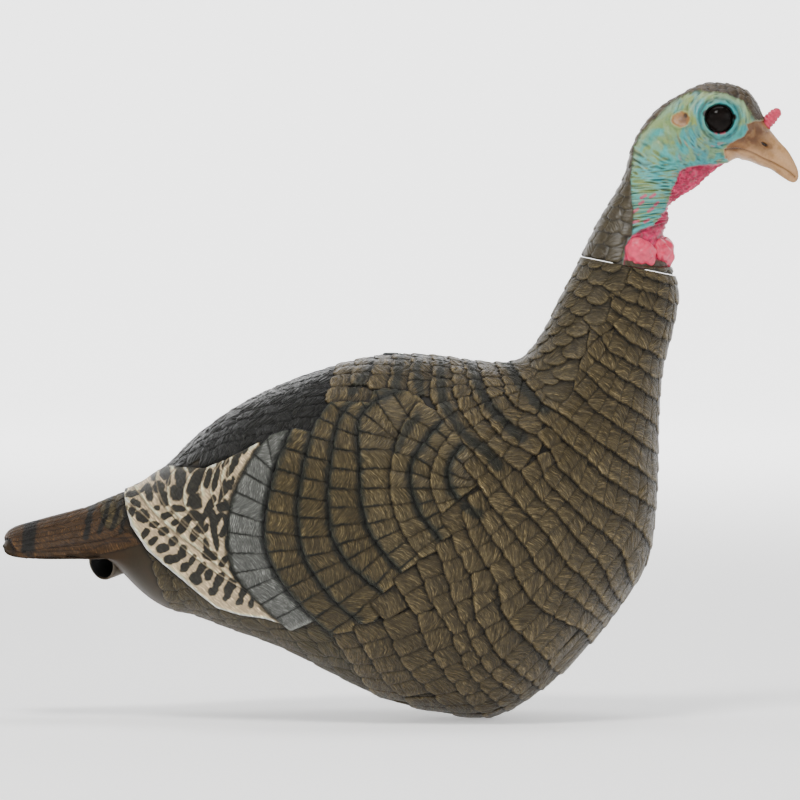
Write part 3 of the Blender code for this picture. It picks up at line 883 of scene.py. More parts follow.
for cx, cy, major, minor, lean in BARS:
    (bx, bz), = tip_sheet([(cx, cy)])
    major, minor, lean = major / 9.4, minor / 8.6, math.radians(lean)
    u = (warp_x - bx) * math.cos(lean) - (warp_z - bz) * math.sin(lean)
    v = (warp_x - bx) * math.sin(lean) + (warp_z - bz) * math.cos(lean)
    shape = (np.abs(u) / major) ** 2.4 + (np.abs(v) / minor) ** 2.4
    dark = np.maximum(dark, 1 - smooth(shape, 0.78, 1.35))
border = 1 - smooth(flight[near] + 1.0 * (fractal(p, 4, 9) - 0.5), 0.9, 2.2)
cream = CREAM * (0.86 + 0.28 * fractal(p, 6.0, 44))[:, None]
ink = srgb(40, 38, 31) * (0.8 + 0.5 * noise(p, 1.6, 12))[:, None]
tone = cream * (1 - dark[:, None]) + ink * dark[:, None]
rise = np.full(len(p), 2.6) + 0.5 * (noise(p, 3.0, 6) - 0.5) * 0.5
for line in QUILLS:
    q = even(tip_sheet(line), 2.0)
    d, at, side = nearest_on(q, px, pz)
    d = d + 0.3 * (noise(p, 3.0, 14) - 0.5)
    # Each feather rises to its edge; a pale painted highlight lies along the raised edge, above a fine dark line of
    # painted shade at its foot.
    lip = np.exp(-((d / 0.55) ** 2))
    tone = tone * (1 - 0.5 * np.exp(-(((d - 0.9) / 0.5) ** 2)) * (side < 0))[:, None]
    pale = (lip * 0.3)[:, None]
    tone = tone * (1 - pale) + CREAM * 1.08 * pale
    rise = rise + np.where(side > 0, 0.55 * np.exp(-d / 2.6), -0.15 * np.exp(-d / 1.0))
# Painted highlight: a pale rim along the lower edge of the raised wing plate.
rim = np.exp(-(((flight[near] - 0.7) / 0.55) ** 2)) * (pz < np.interp(px, [-200, -120, -90], [140, 118, 70]))
tone = tone * (1 - 0.65 * rim[:, None]) + srgb(226, 214, 190) * 1.3 * 0.65 * rim[:, None]
k = plate[near]
S.C[near] = S.C[near] * (1 - k[:, None]) + tone * k[:, None]
S.H[near] = S.H[near] * (1 - k) + rise * k
S.G[near] = S.G[near] * (1 - k) + 0.5 * k
S.F[near] = np.where(
    (k > 0.5)[:, None],
    np.stack([(px + pz) * 0.9, (px - pz) * 0.5, np.full(len(p), 3.0)], 1), S.F[near]
)


def outward(i, j, dx, dz):
    """A direction of the side elevation laid on the skin."""
    d = np.array((dx, 0.0, dz))
    n = S.N[i, j]
    return unit(d - n * (d @ n))


band_look = look(GREY, tip=srgb(36, 37, 33), tip_width=1.6, variety=0.08, rough=0.42,
                 streak=0.05, root=0.94)
cover_look = look(srgb(93, 80, 61), variety=0.18, rough=0.5, streak=0.45, root=0.86,
                  edge=0.10, patches=0.25)


def lay_line(line, width, reach, paint, base, lift, depth, power, groove, barb=0.16,
             side_groove=0.55):
    """A row of feathers on both wings, tips along a line of the side elevation."""
    tips = even(sq(line), width * 0.98)
    for side in (-1, 1):
        places = S.find(tips, side)
        order = range(len(tips) - 1, -1, -1)
        for m in order:
            a, b = tips[max(m - 1, 0)], tips[min(m + 1, len(tips) - 1)]
            tx, tz = (b - a) / (np.linalg.norm(b - a) + 1e-9)
            # Tips point to the outer side of the line, which is towards the tail.
            nx, nz = (tz, -tx) if tz < 0 else (-tz, tx)
            if nx > 0:
                nx, nz = -nx, -nz
            i, j = places[m]
            d = outward(i, j, nx, nz)
            S.press((i, j), d, reach, 0.60 * width, paint, base=base, lift=lift,
                    depth=depth, power=power, groove=groove, barb=barb, side=side_groove)


INK = srgb(31, 33, 28)
lay_line(BAND_EDGE, 15.0, 52, band_look, 2.0, 0.9, 2.6, 6.0, 0.75, barb=0.02, side_groove=0.12)
S.stroke(sq(BAND_EDGE), 2.4, INK, 0.85, soft=2.2, wobble=1.8, seed=71, where=np.abs(S.y) > 20)
for n, (line, width, reach, ink_width) in enumerate(WING_ROWS):
    paint = look(srgb(80, 71, 52) if n < 3 else srgb(88, 79, 60),
                 tip=srgb(33, 35, 30), tip_width=0.8 * ink_width, variety=0.16,
                 rough=0.46 if n < 3 else 0.44, streak=0.5, root=0.82, edge=0.08,
                 patches=0.3)
    lay_line(line, width, reach, paint, 2.0 - 0.16 * n, 1.8, 3.2, 4.4, 0.75)
    if ink_width:
        S.stroke(sq(line), 1.0 * ink_width, INK, 0.88, soft=3.8, wobble=2.4, seed=80 + n,
                 where=(np.abs(S.y) > 20) & (S.z > 40))

# ---- mantle, breast and neck -------------------------------------------------------------
body_look = look(OLIVE, variety=0.16, rough=0.46, streak=0.5, root=0.74, edge=0.16,
                 patches=0.22)
WING_CORE = sq([
    (125, 491), (150, 546), (219, 602), (285, 617), (336, 624), (366, 606), (390, 584),
    (408, 566), (420, 545), (434, 528), (446, 510), (462, 500), (470, 480), (462, 450),
    (440, 425), (420, 412), (402, 388), (386, 384), (357, 383), (330, 394), (308, 418), (275, 433),
    (209, 466),
])


def dress_body(k, place, d, pitch, width, x, z, j):
    flat = float(smooth(np.array(-z), -60, 0))
    high = float(smooth(np.array(z), 165, 205)) * float(smooth(np.array(-x), -120, -80))
    S.press(place, d, 2.2 * pitch + 2, 0.565 * width, body_look, base=0.1, lift=2.1,
            depth=3.6 + 3.0 * flat + 2.2 * high, power=4.2 - 1.4 * flat - 1.5 * high,
            groove=0.9 - 0.3 * flat, side=0.25 + 0.25 * flat, barb=0.22 + 0.1 * high,
            ragged=0.45 + 0.5 * high)


def above_wing(k, x, z, j):
    return x > px_x(322) and z > 0.75 * (695.5 - 440) and not in_poly(WING_CORE, x, z)


def before_wing(k, x, z, j):
    return not dark_rump(x, z) and x > px_x(300) and not in_poly(WING_CORE, x, z)


lay_rows([0.5 + 0.93 * n for n in range(1, 26)], widths, before_wing, dress_body)

# Down the back of the neck the feathers are rounder and lie in their own columns.
nape_look = look(srgb(80, 72, 55), variety=0.16, rough=0.48, streak=0.45, root=0.7,
                 edge=0.2, patches=0.2)
run = np.concatenate([[0], np.cumsum(np.linalg.norm(np.diff(S.P[::-1, 0], axis=0), axis=1))])
for m in range(9, -1, -1):
    at = 6.0 + 11.0 * m
    i = S.ni - 1 - int(np.searchsorted(run, at))
    if i < 4:
        continue
    around = np.concatenate(
        [[0], np.cumsum(np.linalg.norm(np.diff(S.P[i, : HALF + 1], axis=0), axis=1))]
    )
    step = 14.0 + 0.35 * m
    for n in range(6, -1, -1):
        offset = (n + (0.5 if m % 2 else 0.0)) * step
        j = int(np.searchsorted(around, offset))
        if j >= HALF:
            continue
        for side in (-1, 1):
            if side > 0 and j == 0:
                continue
            jj = j if side < 0 else (S.nj - j) % S.nj
            x, y, z = S.P[i, jj]
            if not in_poly(NAPE, x, z):
                continue
            d = unit(S.P[max(i - 3, 0), jj] - S.P[i, jj])
            S.press((i, jj), d, 25, 0.60 * step, nape_look, base=0.3, lift=1.6, depth=7.5,
                    power=2.4, groove=0.62)

# A column of broad feathers runs down the front of the neck and breast.
run = np.concatenate([[0], np.cumsum(np.linalg.norm(np.diff(S.P[::-1, HALF], axis=0), axis=1))])
for m in range(17, -1, -1):
    at = 7.0 + 14.2 * m
    i = S.ni - 1 - int(np.searchsorted(run, at))
    if i < 4:
        continue
    d = unit(S.P[max(i - 3, 0), HALF] - S.P[i, HALF])
    half = 15.5 - 0.15 * m
    S.press((i, HALF), d, 30, half, body_look, base=0.6, lift=1.5, depth=7.0, power=3.0,
            groove=0.5)

for line, width in MANTLE_BANDS:
    S.stroke(sq(line), 0.85 * width, INK, 0.88, soft=3.4, wobble=2.4,
             seed=int(line[0][0]), where=S.z > 100)
for line in ([(416, 416), (404, 430), (396, 446)], [(463, 500), (470, 506), (478, 508)]):
    S.stroke(sq(line), 4.0, INK, 0.85, soft=3.4, wobble=2.4, seed=5)
# Tail: one wide dark band near the tip and narrow ones over the coverts.
for line, width, power in (
    ([(34, 516), (31, 530), (30, 549)], 11.0, 0.97),
    ([(96, 500), (91, 515), (88, 536)], 4.4, 0.97),
    ([(111, 496), (107, 514), (101, 531)], 3.0, 0.95),
    ([(122, 500), (117.5, 518), (113.5, 528)], 2.6, 0.92),
    ([(129, 508), (125, 524), (123, 530)], 2.4, 0.9),
):
    S.stroke(sq(line), 0.8 * width, srgb(22, 21, 17), power, soft=1.4, wobble=1.4, seed=int(width * 3))
for line in ([(58, 545), (95, 539.5), (135, 535.3)], [(30, 551), (86, 548.6), (110, 541), (133, 538.5)]):
    S.stroke(sq(line), 0.8, srgb(52, 36, 25), 0.75, soft=0.9, wobble=0.3, seed=4)

# Overall tone: slight weathering; further down, darker deep grooves, partly a dark wash and partly painted shade, and
# painted highlights on the raised edges.
S.C *= (0.93 + 0.14 * fractal(S.P, 60.0, 90, 2))[..., None]
S.C *= (0.95 + 0.10 * noise(S.P, 1.4, 91))[..., None]


def soften(h, n, wrap=True):
    """A box blur over the grid, cyclic round the section."""
    for _ in range(2):
        pad = np.concatenate([np.repeat(h[:1], n, 0), h, np.repeat(h[-1:], n, 0)])
        total = np.cumsum(np.concatenate([np.zeros((1, h.shape[1])), pad]), 0)
        h = (total[2 * n + 1 :] - total[: -2 * n - 1]) / (2 * n + 1)
        pad = np.concatenate([h[:, -n:], h, h[:, :n]], 1)
        total = np.cumsum(np.concatenate([np.zeros((h.shape[0], 1)), pad], 1), 1)
        h = (total[:, 2 * n + 1 :] - total[:, : -2 * n - 1]) / (2 * n + 1)
    return h


def wash_shade_and_highlight(skin, n, depth, dark, bright):
    """Darkens the grooves, partly a thin dark paint wash and partly painted shade; lightens the raised edges, partly
    rubbed paint and partly painted highlight.
    """
    d = np.clip((skin.H - soften(skin.H, n)) / depth, -1, 1)
    skin.C *= (1 + np.where(d < 0, dark * d, bright * d))[..., None]


# Dark wash and painted shade in the body's grooves, painted highlight on its ridges.
wash_shade_and_highlight(S, 4, 0.65, 0.84, 1.35)


def richer(skin, amount):
    """Deepens the paint's colour without changing how light it is."""
    grey = (skin.C @ np.array((0.25, 0.6, 0.15)))[..., None]
    skin.C[:] = np.clip(grey + (skin.C - grey) * amount, 0.002, 1)


richer(S, 1.26)
# Overall paint level; the rear body and tail are darkened further as painted shade.
rear_shade = smooth(-S.x, 150, 200) * (1 - plate)
S.C *= ((0.415 + 0.005 * plate) * (1 - 0.34 * rear_shade))[..., None]
# Painted shade: the skin seen inside the vent's bore is painted near-black and flattened.
bore = S.P - VENT_MOUTH
deep = bore @ unit(VENT_DIR)
off_axis = np.linalg.norm(bore - deep[..., None] * unit(VENT_DIR), axis=-1)
black = (1 - smooth(off_axis, 9.6, 11.6)) * (deep < -0.5) * (deep > -45)
S.C *= (1 - 0.97 * black)[..., None]
S.H *= 1 - black

# ---- the openings in the skin: stake bushing below, grommet above -------------------------
cells = np.ones(((S.ni - 1) // Q, S.nj // Q), bool)


def opening(x0, j0, radius, recess_r, recess_z, calm):
    """A round hole about the swivel axis, through the keel line or the back line."""
    i0 = int(np.argmin(np.abs(S.P[:, j0, 0] - x0)
                       + (1e3 if j0 else 0) * (S.P[:, j0, 2] > 60)))
    i0 = int(round(i0 / Q)) * Q
    di = np.linalg.norm(S.P[i0 + 1, j0] - S.P[i0, j0])
    dj = np.linalg.norm(S.P[i0, j0 + 1] - S.P[i0, j0])
    m, n = max(1, round(radius / (Q * di))), max(1, round(radius / (Q * dj)))
    for a in range(-m, m):
        for b in range(-n, n):
            cells[i0 // Q + a, (j0 // Q + b) % cells.shape[1]] = False
    span_i, span_j = 4 * m * Q, 4 * n * Q
    ii = np.arange(i0 - span_i, i0 + span_i + 1)
    jj = np.arange(j0 - span_j, j0 + span_j + 1)
    u = np.abs(ii - i0)[:, None] / (m * Q)
    v = np.abs(jj - j0)[None, :] / (n * Q)
    rho = np.maximum(u, v)
    ix = np.ix_(ii, jj % S.nj)
    P = S.P[ix]
    x, y, z = P[..., 0], P[..., 1], P[..., 2]

    def terms(x, y):
        x, y = x / 30, y / 30
        return np.stack([x**a * y**b for a in range(4) for b in range(4 - a)], -1)

    fit, *_ = np.linalg.lstsq(terms(x, y).reshape(-1, 10), z.ravel(), rcond=None)
    r = np.hypot(x, y) + 1e-9
    f = np.clip((2.8 - rho) / 1.8, 0, 1) ** 2
    f = np.where(rho < 1, 1, f)
    r2 = r + (radius - r / np.maximum(rho, 1e-6)) * f
    r2 = np.where(rho < 1, r * radius / np.maximum(r / np.maximum(rho, 1e-6), 1e-6), r2)
    x2, y2 = x * r2 / r, y * r2 / r
    z2 = z + (terms(x2, y2) - terms(x, y)) @ fit
    flat = 1 - smooth(r2, recess_r, recess_r + calm)
    z2 = z2 * (1 - flat) + recess_z * flat
    S.P[ix] = np.stack([x2, y2, z2], -1)
    S.H[ix] *= smooth(r2, recess_r + 0.3, recess_r + 5)


opening(0, HALF, 9.85, 12.65, 2.95, 0.7)
opening(0, 0, 5.75, 7.2, 254.35, 2.2)

outer, inner, shade = finished(S, 2.9)
outer, inner = trim(outer, -1), trim(inner, -1)
thin = 1 - smooth(S.x, -290, -180)
inner = S.P - S.N * (2.9 - 1.9 * thin)[..., None]


def material_skin(name, bump=1.0, grain=1.0, sheen=0.42):
    """Painted vinyl: the pressed tint, fine barbs along each feather, painted highlights as bright glints along the
    barbs, a soft sheen.
    """
    m = bpy.data.materials.new(name)
    m.use_nodes = True
    t = m.node_tree
    n, l = t.nodes, t.links
    p = n["Principled BSDF"]
    tint = n.new("ShaderNodeAttribute")
    tint.attribute_name = "tint"
    gloss = n.new("ShaderNodeAttribute")
    gloss.attribute_name = "gloss"
    fibre = n.new("ShaderNodeAttribute")
    fibre.attribute_name = "fibre"
    scale = n.new("ShaderNodeVectorMath")
    scale.operation = "MULTIPLY"
    scale.inputs[1].default_value = (1.35, 0.16, 1.0)
    l.new(fibre.outputs["Vector"], scale.inputs[0])
    barbs = n.new("ShaderNodeTexNoise")
    barbs.inputs["Scale"].default_value = 1.0
    barbs.inputs["Detail"].default_value = 3.0
    barbs.inputs["Roughness"].default_value = 0.6
    l.new(scale.outputs["Vector"], barbs.inputs["Vector"])
    tone = n.new("ShaderNodeMapRange")
    tone.inputs["From Min"].default_value = 0.30
    tone.inputs["From Max"].default_value = 0.70
    tone.inputs["To Min"].default_value = 1 - 0.38 * grain
    tone.inputs["To Max"].default_value = 1 + 0.34 * grain
    l.new(barbs.outputs["Fac"], tone.inputs["Value"])
    thin = n.new("ShaderNodeVectorMath")
    thin.operation = "MULTIPLY"
    thin.inputs[1].default_value = (2.3, 0.22, 1.7)
    l.new(fibre.outputs["Vector"], thin.inputs[0])
    # Painted highlights: thin glints along the barbs brighten the colour.
    glint = n.new("ShaderNodeTexNoise")
    glint.inputs["Scale"].default_value = 1.0
    glint.inputs["Detail"].default_value = 2.0
    l.new(thin.outputs["Vector"], glint.inputs["Vector"])
    painted_glints = n.new("ShaderNodeMapRange")
    painted_glints.inputs["From Min"].default_value = 0.55
    painted_glints.inputs["From Max"].default_value = 0.72
    painted_glints.inputs["To Min"].default_value = 1.0
    painted_glints.inputs["To Max"].default_value = 1 + 3.0 * grain
    l.new(glint.outputs["Fac"], painted_glints.inputs["Value"])
    place = n.new("ShaderNodeTexCoord")
    speck = n.new("ShaderNodeTexNoise")
    speck.inputs["Scale"].default_value = 620.0
    speck.inputs["Detail"].default_value = 3.0
    l.new(place.outputs["Object"], speck.inputs["Vector"])
    dust = n.new("ShaderNodeMapRange")
    dust.inputs["From Min"].default_value = 0.3
    dust.inputs["From Max"].default_value = 0.7
    dust.inputs["To Min"].default_value = 0.93
    dust.inputs["To Max"].default_value = 1.07
    l.new(speck.outputs["Fac"], dust.inputs["Value"])
    both = n.new("ShaderNodeMath")
    both.operation = "MULTIPLY"
    l.new(tone.outputs["Result"], both.inputs[0])
    l.new(dust.outputs["Result"], both.inputs[1])
    all_three = n.new("ShaderNodeMath")
    all_three.operation = "MULTIPLY"
    l.new(both.outputs["Value"], all_three.inputs[0])
    l.new(painted_glints.outputs["Result"], all_three.inputs[1])
    paint = n.new("ShaderNodeVectorMath")
    paint.operation = "SCALE"
    l.new(tint.outputs["Color"], paint.inputs[0])
    l.new(all_three.outputs["Value"], paint.inputs["Scale"])
    l.new(paint.outputs["Vector"], p.inputs["Base Color"])
    rough = n.new("ShaderNodeMath")
    rough.operation = "MULTIPLY_ADD"
    rough.inputs[1].default_value = -0.22
    l.new(barbs.outputs["Fac"], rough.inputs[0])
    l.new(gloss.outputs["Fac"], rough.inputs[2])
    l.new(rough.outputs["Value"], p.inputs["Roughness"])
    b1 = n.new("ShaderNodeBump")
    b1.inputs["Strength"].default_value = bump
    b1.inputs["Distance"].default_value = 0.0012
    l.new(barbs.outputs["Fac"], b1.inputs["Height"])
    b2 = n.new("ShaderNodeBump")
    b2.inputs["Strength"].default_value = 0.25
    b2.inputs["Distance"].default_value = 0.0003
    l.new(speck.outputs["Fac"], b2.inputs["Height"])
    l.new(b1.outputs["Normal"], b2.inputs["Normal"])
    l.new(b2.outputs["Normal"], p.inputs["Normal"])
    p.inputs["Specular IOR Level"].default_value = sheen
    return m


SKIN_MAT = material_skin("feathered_vinyl", sheen=0.18)

ci, cj = cells.shape
tail_end_cell = int(np.argmin(np.abs(S.P[:, HALF // 2, 0] + 205))) // Q
neck_cell = int(np.argmin(np.abs(S.P[:, 0, 2] - 256) + 1e3 * (S.P[:, 0, 0] < 85))) // Q
neck_cell = ci - max(ci // 4, 4)
rows = np.arange(ci)[:, None] + np.zeros((1, cj), int)
cols = np.arange(cj)[None, :] + np.zeros((ci, 1), int)
o8 = cj // 8
back = (cols < o8) | (cols >= cj - o8)
keel = (cols >= 3 * o8) & (cols < cj - 3 * o8)
right = ~back & ~keel & (cols < cj // 2)
left = ~back & ~keel & (cols >= cj // 2)
trunk = (rows >= tail_end_cell) & (rows < neck_cell)
PARTS = {
    "tail_fan": rows < tail_end_cell,
    "mantle_and_rump": trunk & back,
    "belly": trunk & keel,
    "right_wing_and_flank": trunk & right,
    "left_wing_and_flank": trunk & left,
    "neck_and_breast": rows >= neck_cell,
}
for name, mask in PARTS.items():
    ob = build(name, outer, inner, shade, S, mask & cells)
    ob.data.materials.append(SKIN_MAT)
    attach(ob, "bird")
    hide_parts("body_shell")


# ---- plain turned pieces ----------------------------------------------------------------
def turned(name, profile, steps, place, ripple=None):
    """A closed solid turned about its own Z: profile is (radius, height) in millimetres."""
    verts, faces, rings = [], [], []
    for r, z in profile:
        if r < 1e-6:
            rings.append([len(verts)])
            verts.append((0, 0, z))
        else:
            rings.append(list(range(len(verts), len(verts) + steps)))
            for s in range(steps):
                a = 2 * math.pi * s / steps
                rr = r + (ripple(a, z) if ripple else 0)
                verts.append((rr * math.cos(a), rr * math.sin(a), z))
    closed = profile[0][0] > 1e-6 and profile[-1][0] > 1e-6
    pairs = list(zip(rings, rings[1:])) + ([(rings[-1], rings[0])] if closed else [])
    for a, b in pairs:
        for s in range(steps):
            t = (s + 1) % steps
            if len(a) == 1:
                faces.append((a[0], b[t], b[s]))
            elif len(b) == 1:
                faces.append((a[s], a[t], b[0]))
            else:
                faces.append((a[s], a[t], b[t], b[s]))
    mesh = bpy.data.meshes.new(name)
    mesh.from_pydata([tuple(c * MM for c in v) for v in verts], [], faces)
    bm = bmesh.new()
    bm.from_mesh(mesh)
    bmesh.ops.recalc_face_normals(bm, faces=bm.faces)
    if bm.calc_volume(signed=True) < 0:
        bmesh.ops.reverse_faces(bm, faces=bm.faces)
    bm.to_mesh(mesh)
    bm.free()
    mesh.transform(place)
    mesh.shade_smooth()
    mesh.set_sharp_from_angle(angle=math.radians(45))
    ob = bpy.data.objects.new(name, mesh)
    bpy.context.scene.collection.objects.link(ob)
    return ob


def along(origin, direction):
    turn = Vector(direction).normalized().to_track_quat("Z", "Y").to_matrix().to_4x4()
    return Matrix.Translation(Vector(origin) * MM) @ turn


def plain(name, colour, rough, metal=0.0, speckle=0.12, scale=300.0, bump=0.15, coat=0.0,
          stretch=(1, 1, 1), rough_swing=0.12):
    """A moulded or machined finish: mottled colour, uneven gloss and a fine grain."""
    m = bpy.data.materials.new(name)
    m.use_nodes = True
    t = m.node_tree
    n, l = t.nodes, t.links
    p = n["Principled BSDF"]
    place = n.new("ShaderNodeTexCoord")
    mapping = n.new("ShaderNodeMapping")
    mapping.inputs["Scale"].default_value = stretch
    l.new(place.outputs["Object"], mapping.inputs["Vector"])
    grain = n.new("ShaderNodeTexNoise")
    grain.inputs["Scale"].default_value = scale
    grain.inputs["Detail"].default_value = 4.0
    l.new(mapping.outputs["Vector"], grain.inputs["Vector"])
    ramp = n.new("ShaderNodeValToRGB")
    c = np.array(colour)
    ramp.color_ramp.elements[0].position = 0.3
    ramp.color_ramp.elements[0].color = (*(c * (1 - speckle)), 1)
    ramp.color_ramp.elements[1].position = 0.7
    ramp.color_ramp.elements[1].color = (*np.minimum(c * (1 + speckle), 1), 1)
    l.new(grain.outputs["Fac"], ramp.inputs["Fac"])
    l.new(ramp.outputs["Color"], p.inputs["Base Color"])
    swing = n.new("ShaderNodeMapRange")
    swing.inputs["To Min"].default_value = max(rough - rough_swing, 0.02)
    swing.inputs["To Max"].default_value = min(rough + rough_swing, 1.0)
    l.new(grain.outputs["Fac"], swing.inputs["Value"])
    l.new(swing.outputs["Result"], p.inputs["Roughness"])
    p.inputs["Metallic"].default_value = metal
    p.inputs["Coat Weight"].default_value = coat
    b = n.new("ShaderNodeBump")
    b.inputs["Strength"].default_value = bump
    b.inputs["Distance"].default_value = 0.0003
    l.new(grain.outputs["Fac"], b.inputs["Height"])
    l.new(b.outputs["Normal"], p.inputs["Normal"])
    return m


# The vent spout under the tail.
lip = [(10.6, -34), (10.6, -1.2), (10.9, -0.4), (11.5, 0.0), (12.1, -0.3), (12.5, -1.2),
       (12.6, -4), (12.9, -12), (13.2, -34)]
vent = turned("vent_spout", lip, 72, along(VENT_MOUTH, VENT_DIR),
              lambda a, z: 0.15 * math.sin(3 * a + 0.2 * z))
vent.data.materials.append(plain("vent_vinyl", srgb(60, 50, 36), 0.6, bump=0.3))
dark_in = plain("vent_shadow", (0.004, 0.004, 0.004), 0.8)
vent.data.materials.append(dark_in)
for f in vent.data.polygons:
    c = Vector(f.center)
    ax = Vector(unit(VENT_DIR))
    o = c - Vector(VENT_MOUTH) * MM
    if (o - ax * o.dot(ax)).length < 0.01075:
        f.material_index = 1
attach(vent, "bird")
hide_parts("body_shell")

# ---- the head -----------------------------------------------------------------------------
T = Skin(loft(HEAD, HI, HJ, share=(0.4, 0.3, 0.3)), inset=0.4)
for n, i in enumerate(range(T.ni - 5, T.ni)):
    t = math.sqrt(max(0.0, 1 - ((n + 1) / 5) ** 2))
    middle = T.P[i].mean(axis=0)
    T.P[i] = middle + (T.P[i] - middle) * t
T.x, T.y, T.z = (T.P[..., k] for k in range(3))
hx, hz = T.x, T.z

CROWN = sq([
    (640, 60), (800, 60), (800, 112), (761, 120.8), (751.4, 121.3), (748.4, 113.6),
    (740.7, 103), (728.5, 96.4), (707, 93.7), (697.8, 91.4), (682.5, 96), (670.3, 104.4),
    (651.9, 121.3), (639.6, 136.6), (633.5, 148.8), (631.2, 164), (600, 170), (600, 120),
])
NAPE_TOP = sq([
    (560, 150), (633.5, 148.8), (631.2, 164), (629.7, 181), (629.7, 198), (631.2, 213),
    (630.4, 228.5), (629.7, 236), (623.6, 244), (620.5, 255), (621, 268), (690, 268),
    (690, 300), (560, 300),
])
BEAK = sq([
    (723.9, 157), (722.3, 149), (730, 142.7), (742.2, 136.6), (746, 130.4), (744.5, 125),
    (751, 122), (761, 121), (790, 100), (830, 140), (830, 200), (780, 200), (731, 168),
    (728, 161.5),
])
PINK = sq([
    (728, 163.2), (713, 164.6), (697.8, 166), (685.6, 168.2), (678, 172), (674.9, 181),
    (670.3, 191.7), (667, 203), (664, 211), (658, 219), (652, 225.4), (639.6, 230),
    (631, 236), (624, 246), (622, 268), (700, 268), (700, 230), (720, 190), (740, 168),
])
TURQ, LIME, PALE = srgb(100, 172, 166), srgb(158, 168, 100), srgb(178, 196, 152)
ROSE, ROSE_DEEP = srgb(222, 84, 118), srgb(178, 52, 84)
HORN, HORN_TOP = srgb(208, 168, 130), srgb(98, 63, 38)
BROWN = srgb(80, 70, 54)


def soft(poly, blur, jitter=0.6, seed=1, grain=3.0):
    d = edge_distance(poly, hx, hz) + jitter * 2 * (fractal(T.P, grain, seed, 2) - 0.5)
    return smooth(d, -blur, blur), d


def mix(c, k):
    T.C[:] = T.C * (1 - k[..., None]) + np.array(c) * k[..., None]


# Bare skin: turquoise, clouded with yellow-green and paler about the crown.
T.C[:] = TURQ
mix(LIME, 0.75 * smooth(fractal(T.P, 13.0, 60), 0.50, 0.66))
mix(srgb(104, 168, 178), 0.6 * smooth(fractal(T.P, 10.0, 61), 0.52, 0.7))
crown, crown_d = soft(CROWN, 0.6, 0.9, 3, 2.5)
mix(PALE, 0.8 * smooth(crown_d, -8, -0.5) * (hz > 375))
T.G[:] = 0.5

# Folds: thick and wavy on the neck, turning with it; fine around the eye and jaw.
turn = 1.35 * smooth(hz, 338, 404) - 0.7
wavy = 4.5 * (fractal(T.P, 14.0, 70, 2) - 0.5)
across = hz + turn * (hx - 190) + wavy
q = np.stack([(hx - turn * hz) / 13.0, across / 3.3, T.y / 14.0], -1)
folds = 1 - np.abs(2 * noise(q, 1.0, 71) - 1)
neckish = smooth(-hx, -240, -200) * smooth(hz, 332, 345) * smooth(-hz, -432, -396)
T.H += 1.9 * (folds - 0.5) * neckish
face = smooth(hx, 196, 226) * smooth(-hx, -283, -262)
ring = np.hypot(hx - EYE[0], hz - EYE[2])
q = np.stack([hx / 4.5, ring / 2.0, T.y / 4.5], -1)
fine = 1 - np.abs(2 * noise(q, 1.0, 72) - 1)
T.H += 1.0 * (fine - 0.5) * face
T.H += 0.3 * (fractal(T.P, 2.6, 73, 2) - 0.5)
q = np.stack([across / 4.0, (hx - turn * hz) / 8.0, T.y / 9.0], -1)
mix(LIME, 0.7 * neckish * smooth(noise(q, 1.0, 74), 0.48, 0.66))
# Painted highlight on the fold ridges and painted shade in the fold grooves.
mix(srgb(122, 196, 194), 0.6 * neckish * smooth(folds, 0.72, 0.95))
mix(srgb(48, 96, 96), 0.62 * neckish * (1 - smooth(folds, 0.12, 0.55)))
q = np.stack([hx / 5.0, ring / 2.6, T.y / 5.0], -1)
mix(LIME, 0.55 * face * smooth(noise(q, 1.0, 75), 0.52, 0.7))
mix(srgb(82, 148, 158), 0.6 * face * smooth(fractal(T.P, 6.0, 76), 0.5, 0.66))
mix(srgb(196, 128, 110), 0.45 * face * smooth(noise(q, 1.0, 77), 0.72, 0.85) * smooth(-hz, -424, -414))
# Painted shade in the fine creases round the eye.
mix(srgb(52, 104, 104), 0.45 * face * (1 - smooth(fine, 0.1, 0.5)))

# The eye: a lid ring round the ball, a socket behind it and a brow above.
re = ring + 1.1 * (fractal(T.P, 4.0, 78, 2) - 0.5)
flank = np.abs(T.y) > 6
T.H += 0.75 * np.exp(-(((re - 12.0) / 1.1) ** 2)) * flank
T.H -= 0.5 * np.exp(-(((re - 15.0) / 1.2) ** 2)) * flank
(bx0, bz0), = sq([(717, 116)])
brow = np.hypot((hx - bx0) / 1.25, hz - bz0)
T.H += 0.9 * np.exp(-(((brow - 16.5) / 1.8) ** 2)) * flank * smooth(hz, 430, 440)
T.H -= 5.0 * (1 - smooth(ring, 9.6, 11.4)) * flank
mix(srgb(78, 150, 152), 0.6 * (1 - smooth(re, 13.0, 18.0)) * flank)
mix(srgb(176, 196, 160), 0.5 * np.exp(-(((brow - 17.0) / 1.6) ** 2)) * flank * smooth(hz, 430, 440))
corner = np.minimum(np.hypot(hx - EYE[0] + 8.2, (hz - EYE[2] - 3.6) * 1.4),
                    np.hypot(hx - EYE[0] - 8.0, (hz - EYE[2] - 1.0) * 1.4))
black = np.maximum(1 - smooth(re, 10.7, 11.7), 1 - smooth(corner, 3.6, 5.4))
mix(srgb(24, 20, 20), black * flank)
mix(srgb(206, 84, 104), 0.6 * np.exp(-(((re - 11.2) / 0.6) ** 2)) * flank * smooth(-np.abs(hx - EYE[0] - 1), -6, -3) * (hz < EYE[2])
    * smooth(fractal(T.P, 2.0, 95, 2), 0.42, 0.55))
# Painted shade in the socket groove behind the lid ring.
T.C *= (1 - 0.3 * np.exp(-(((re - 15.0) / 1.0) ** 2)) * flank)[..., None]

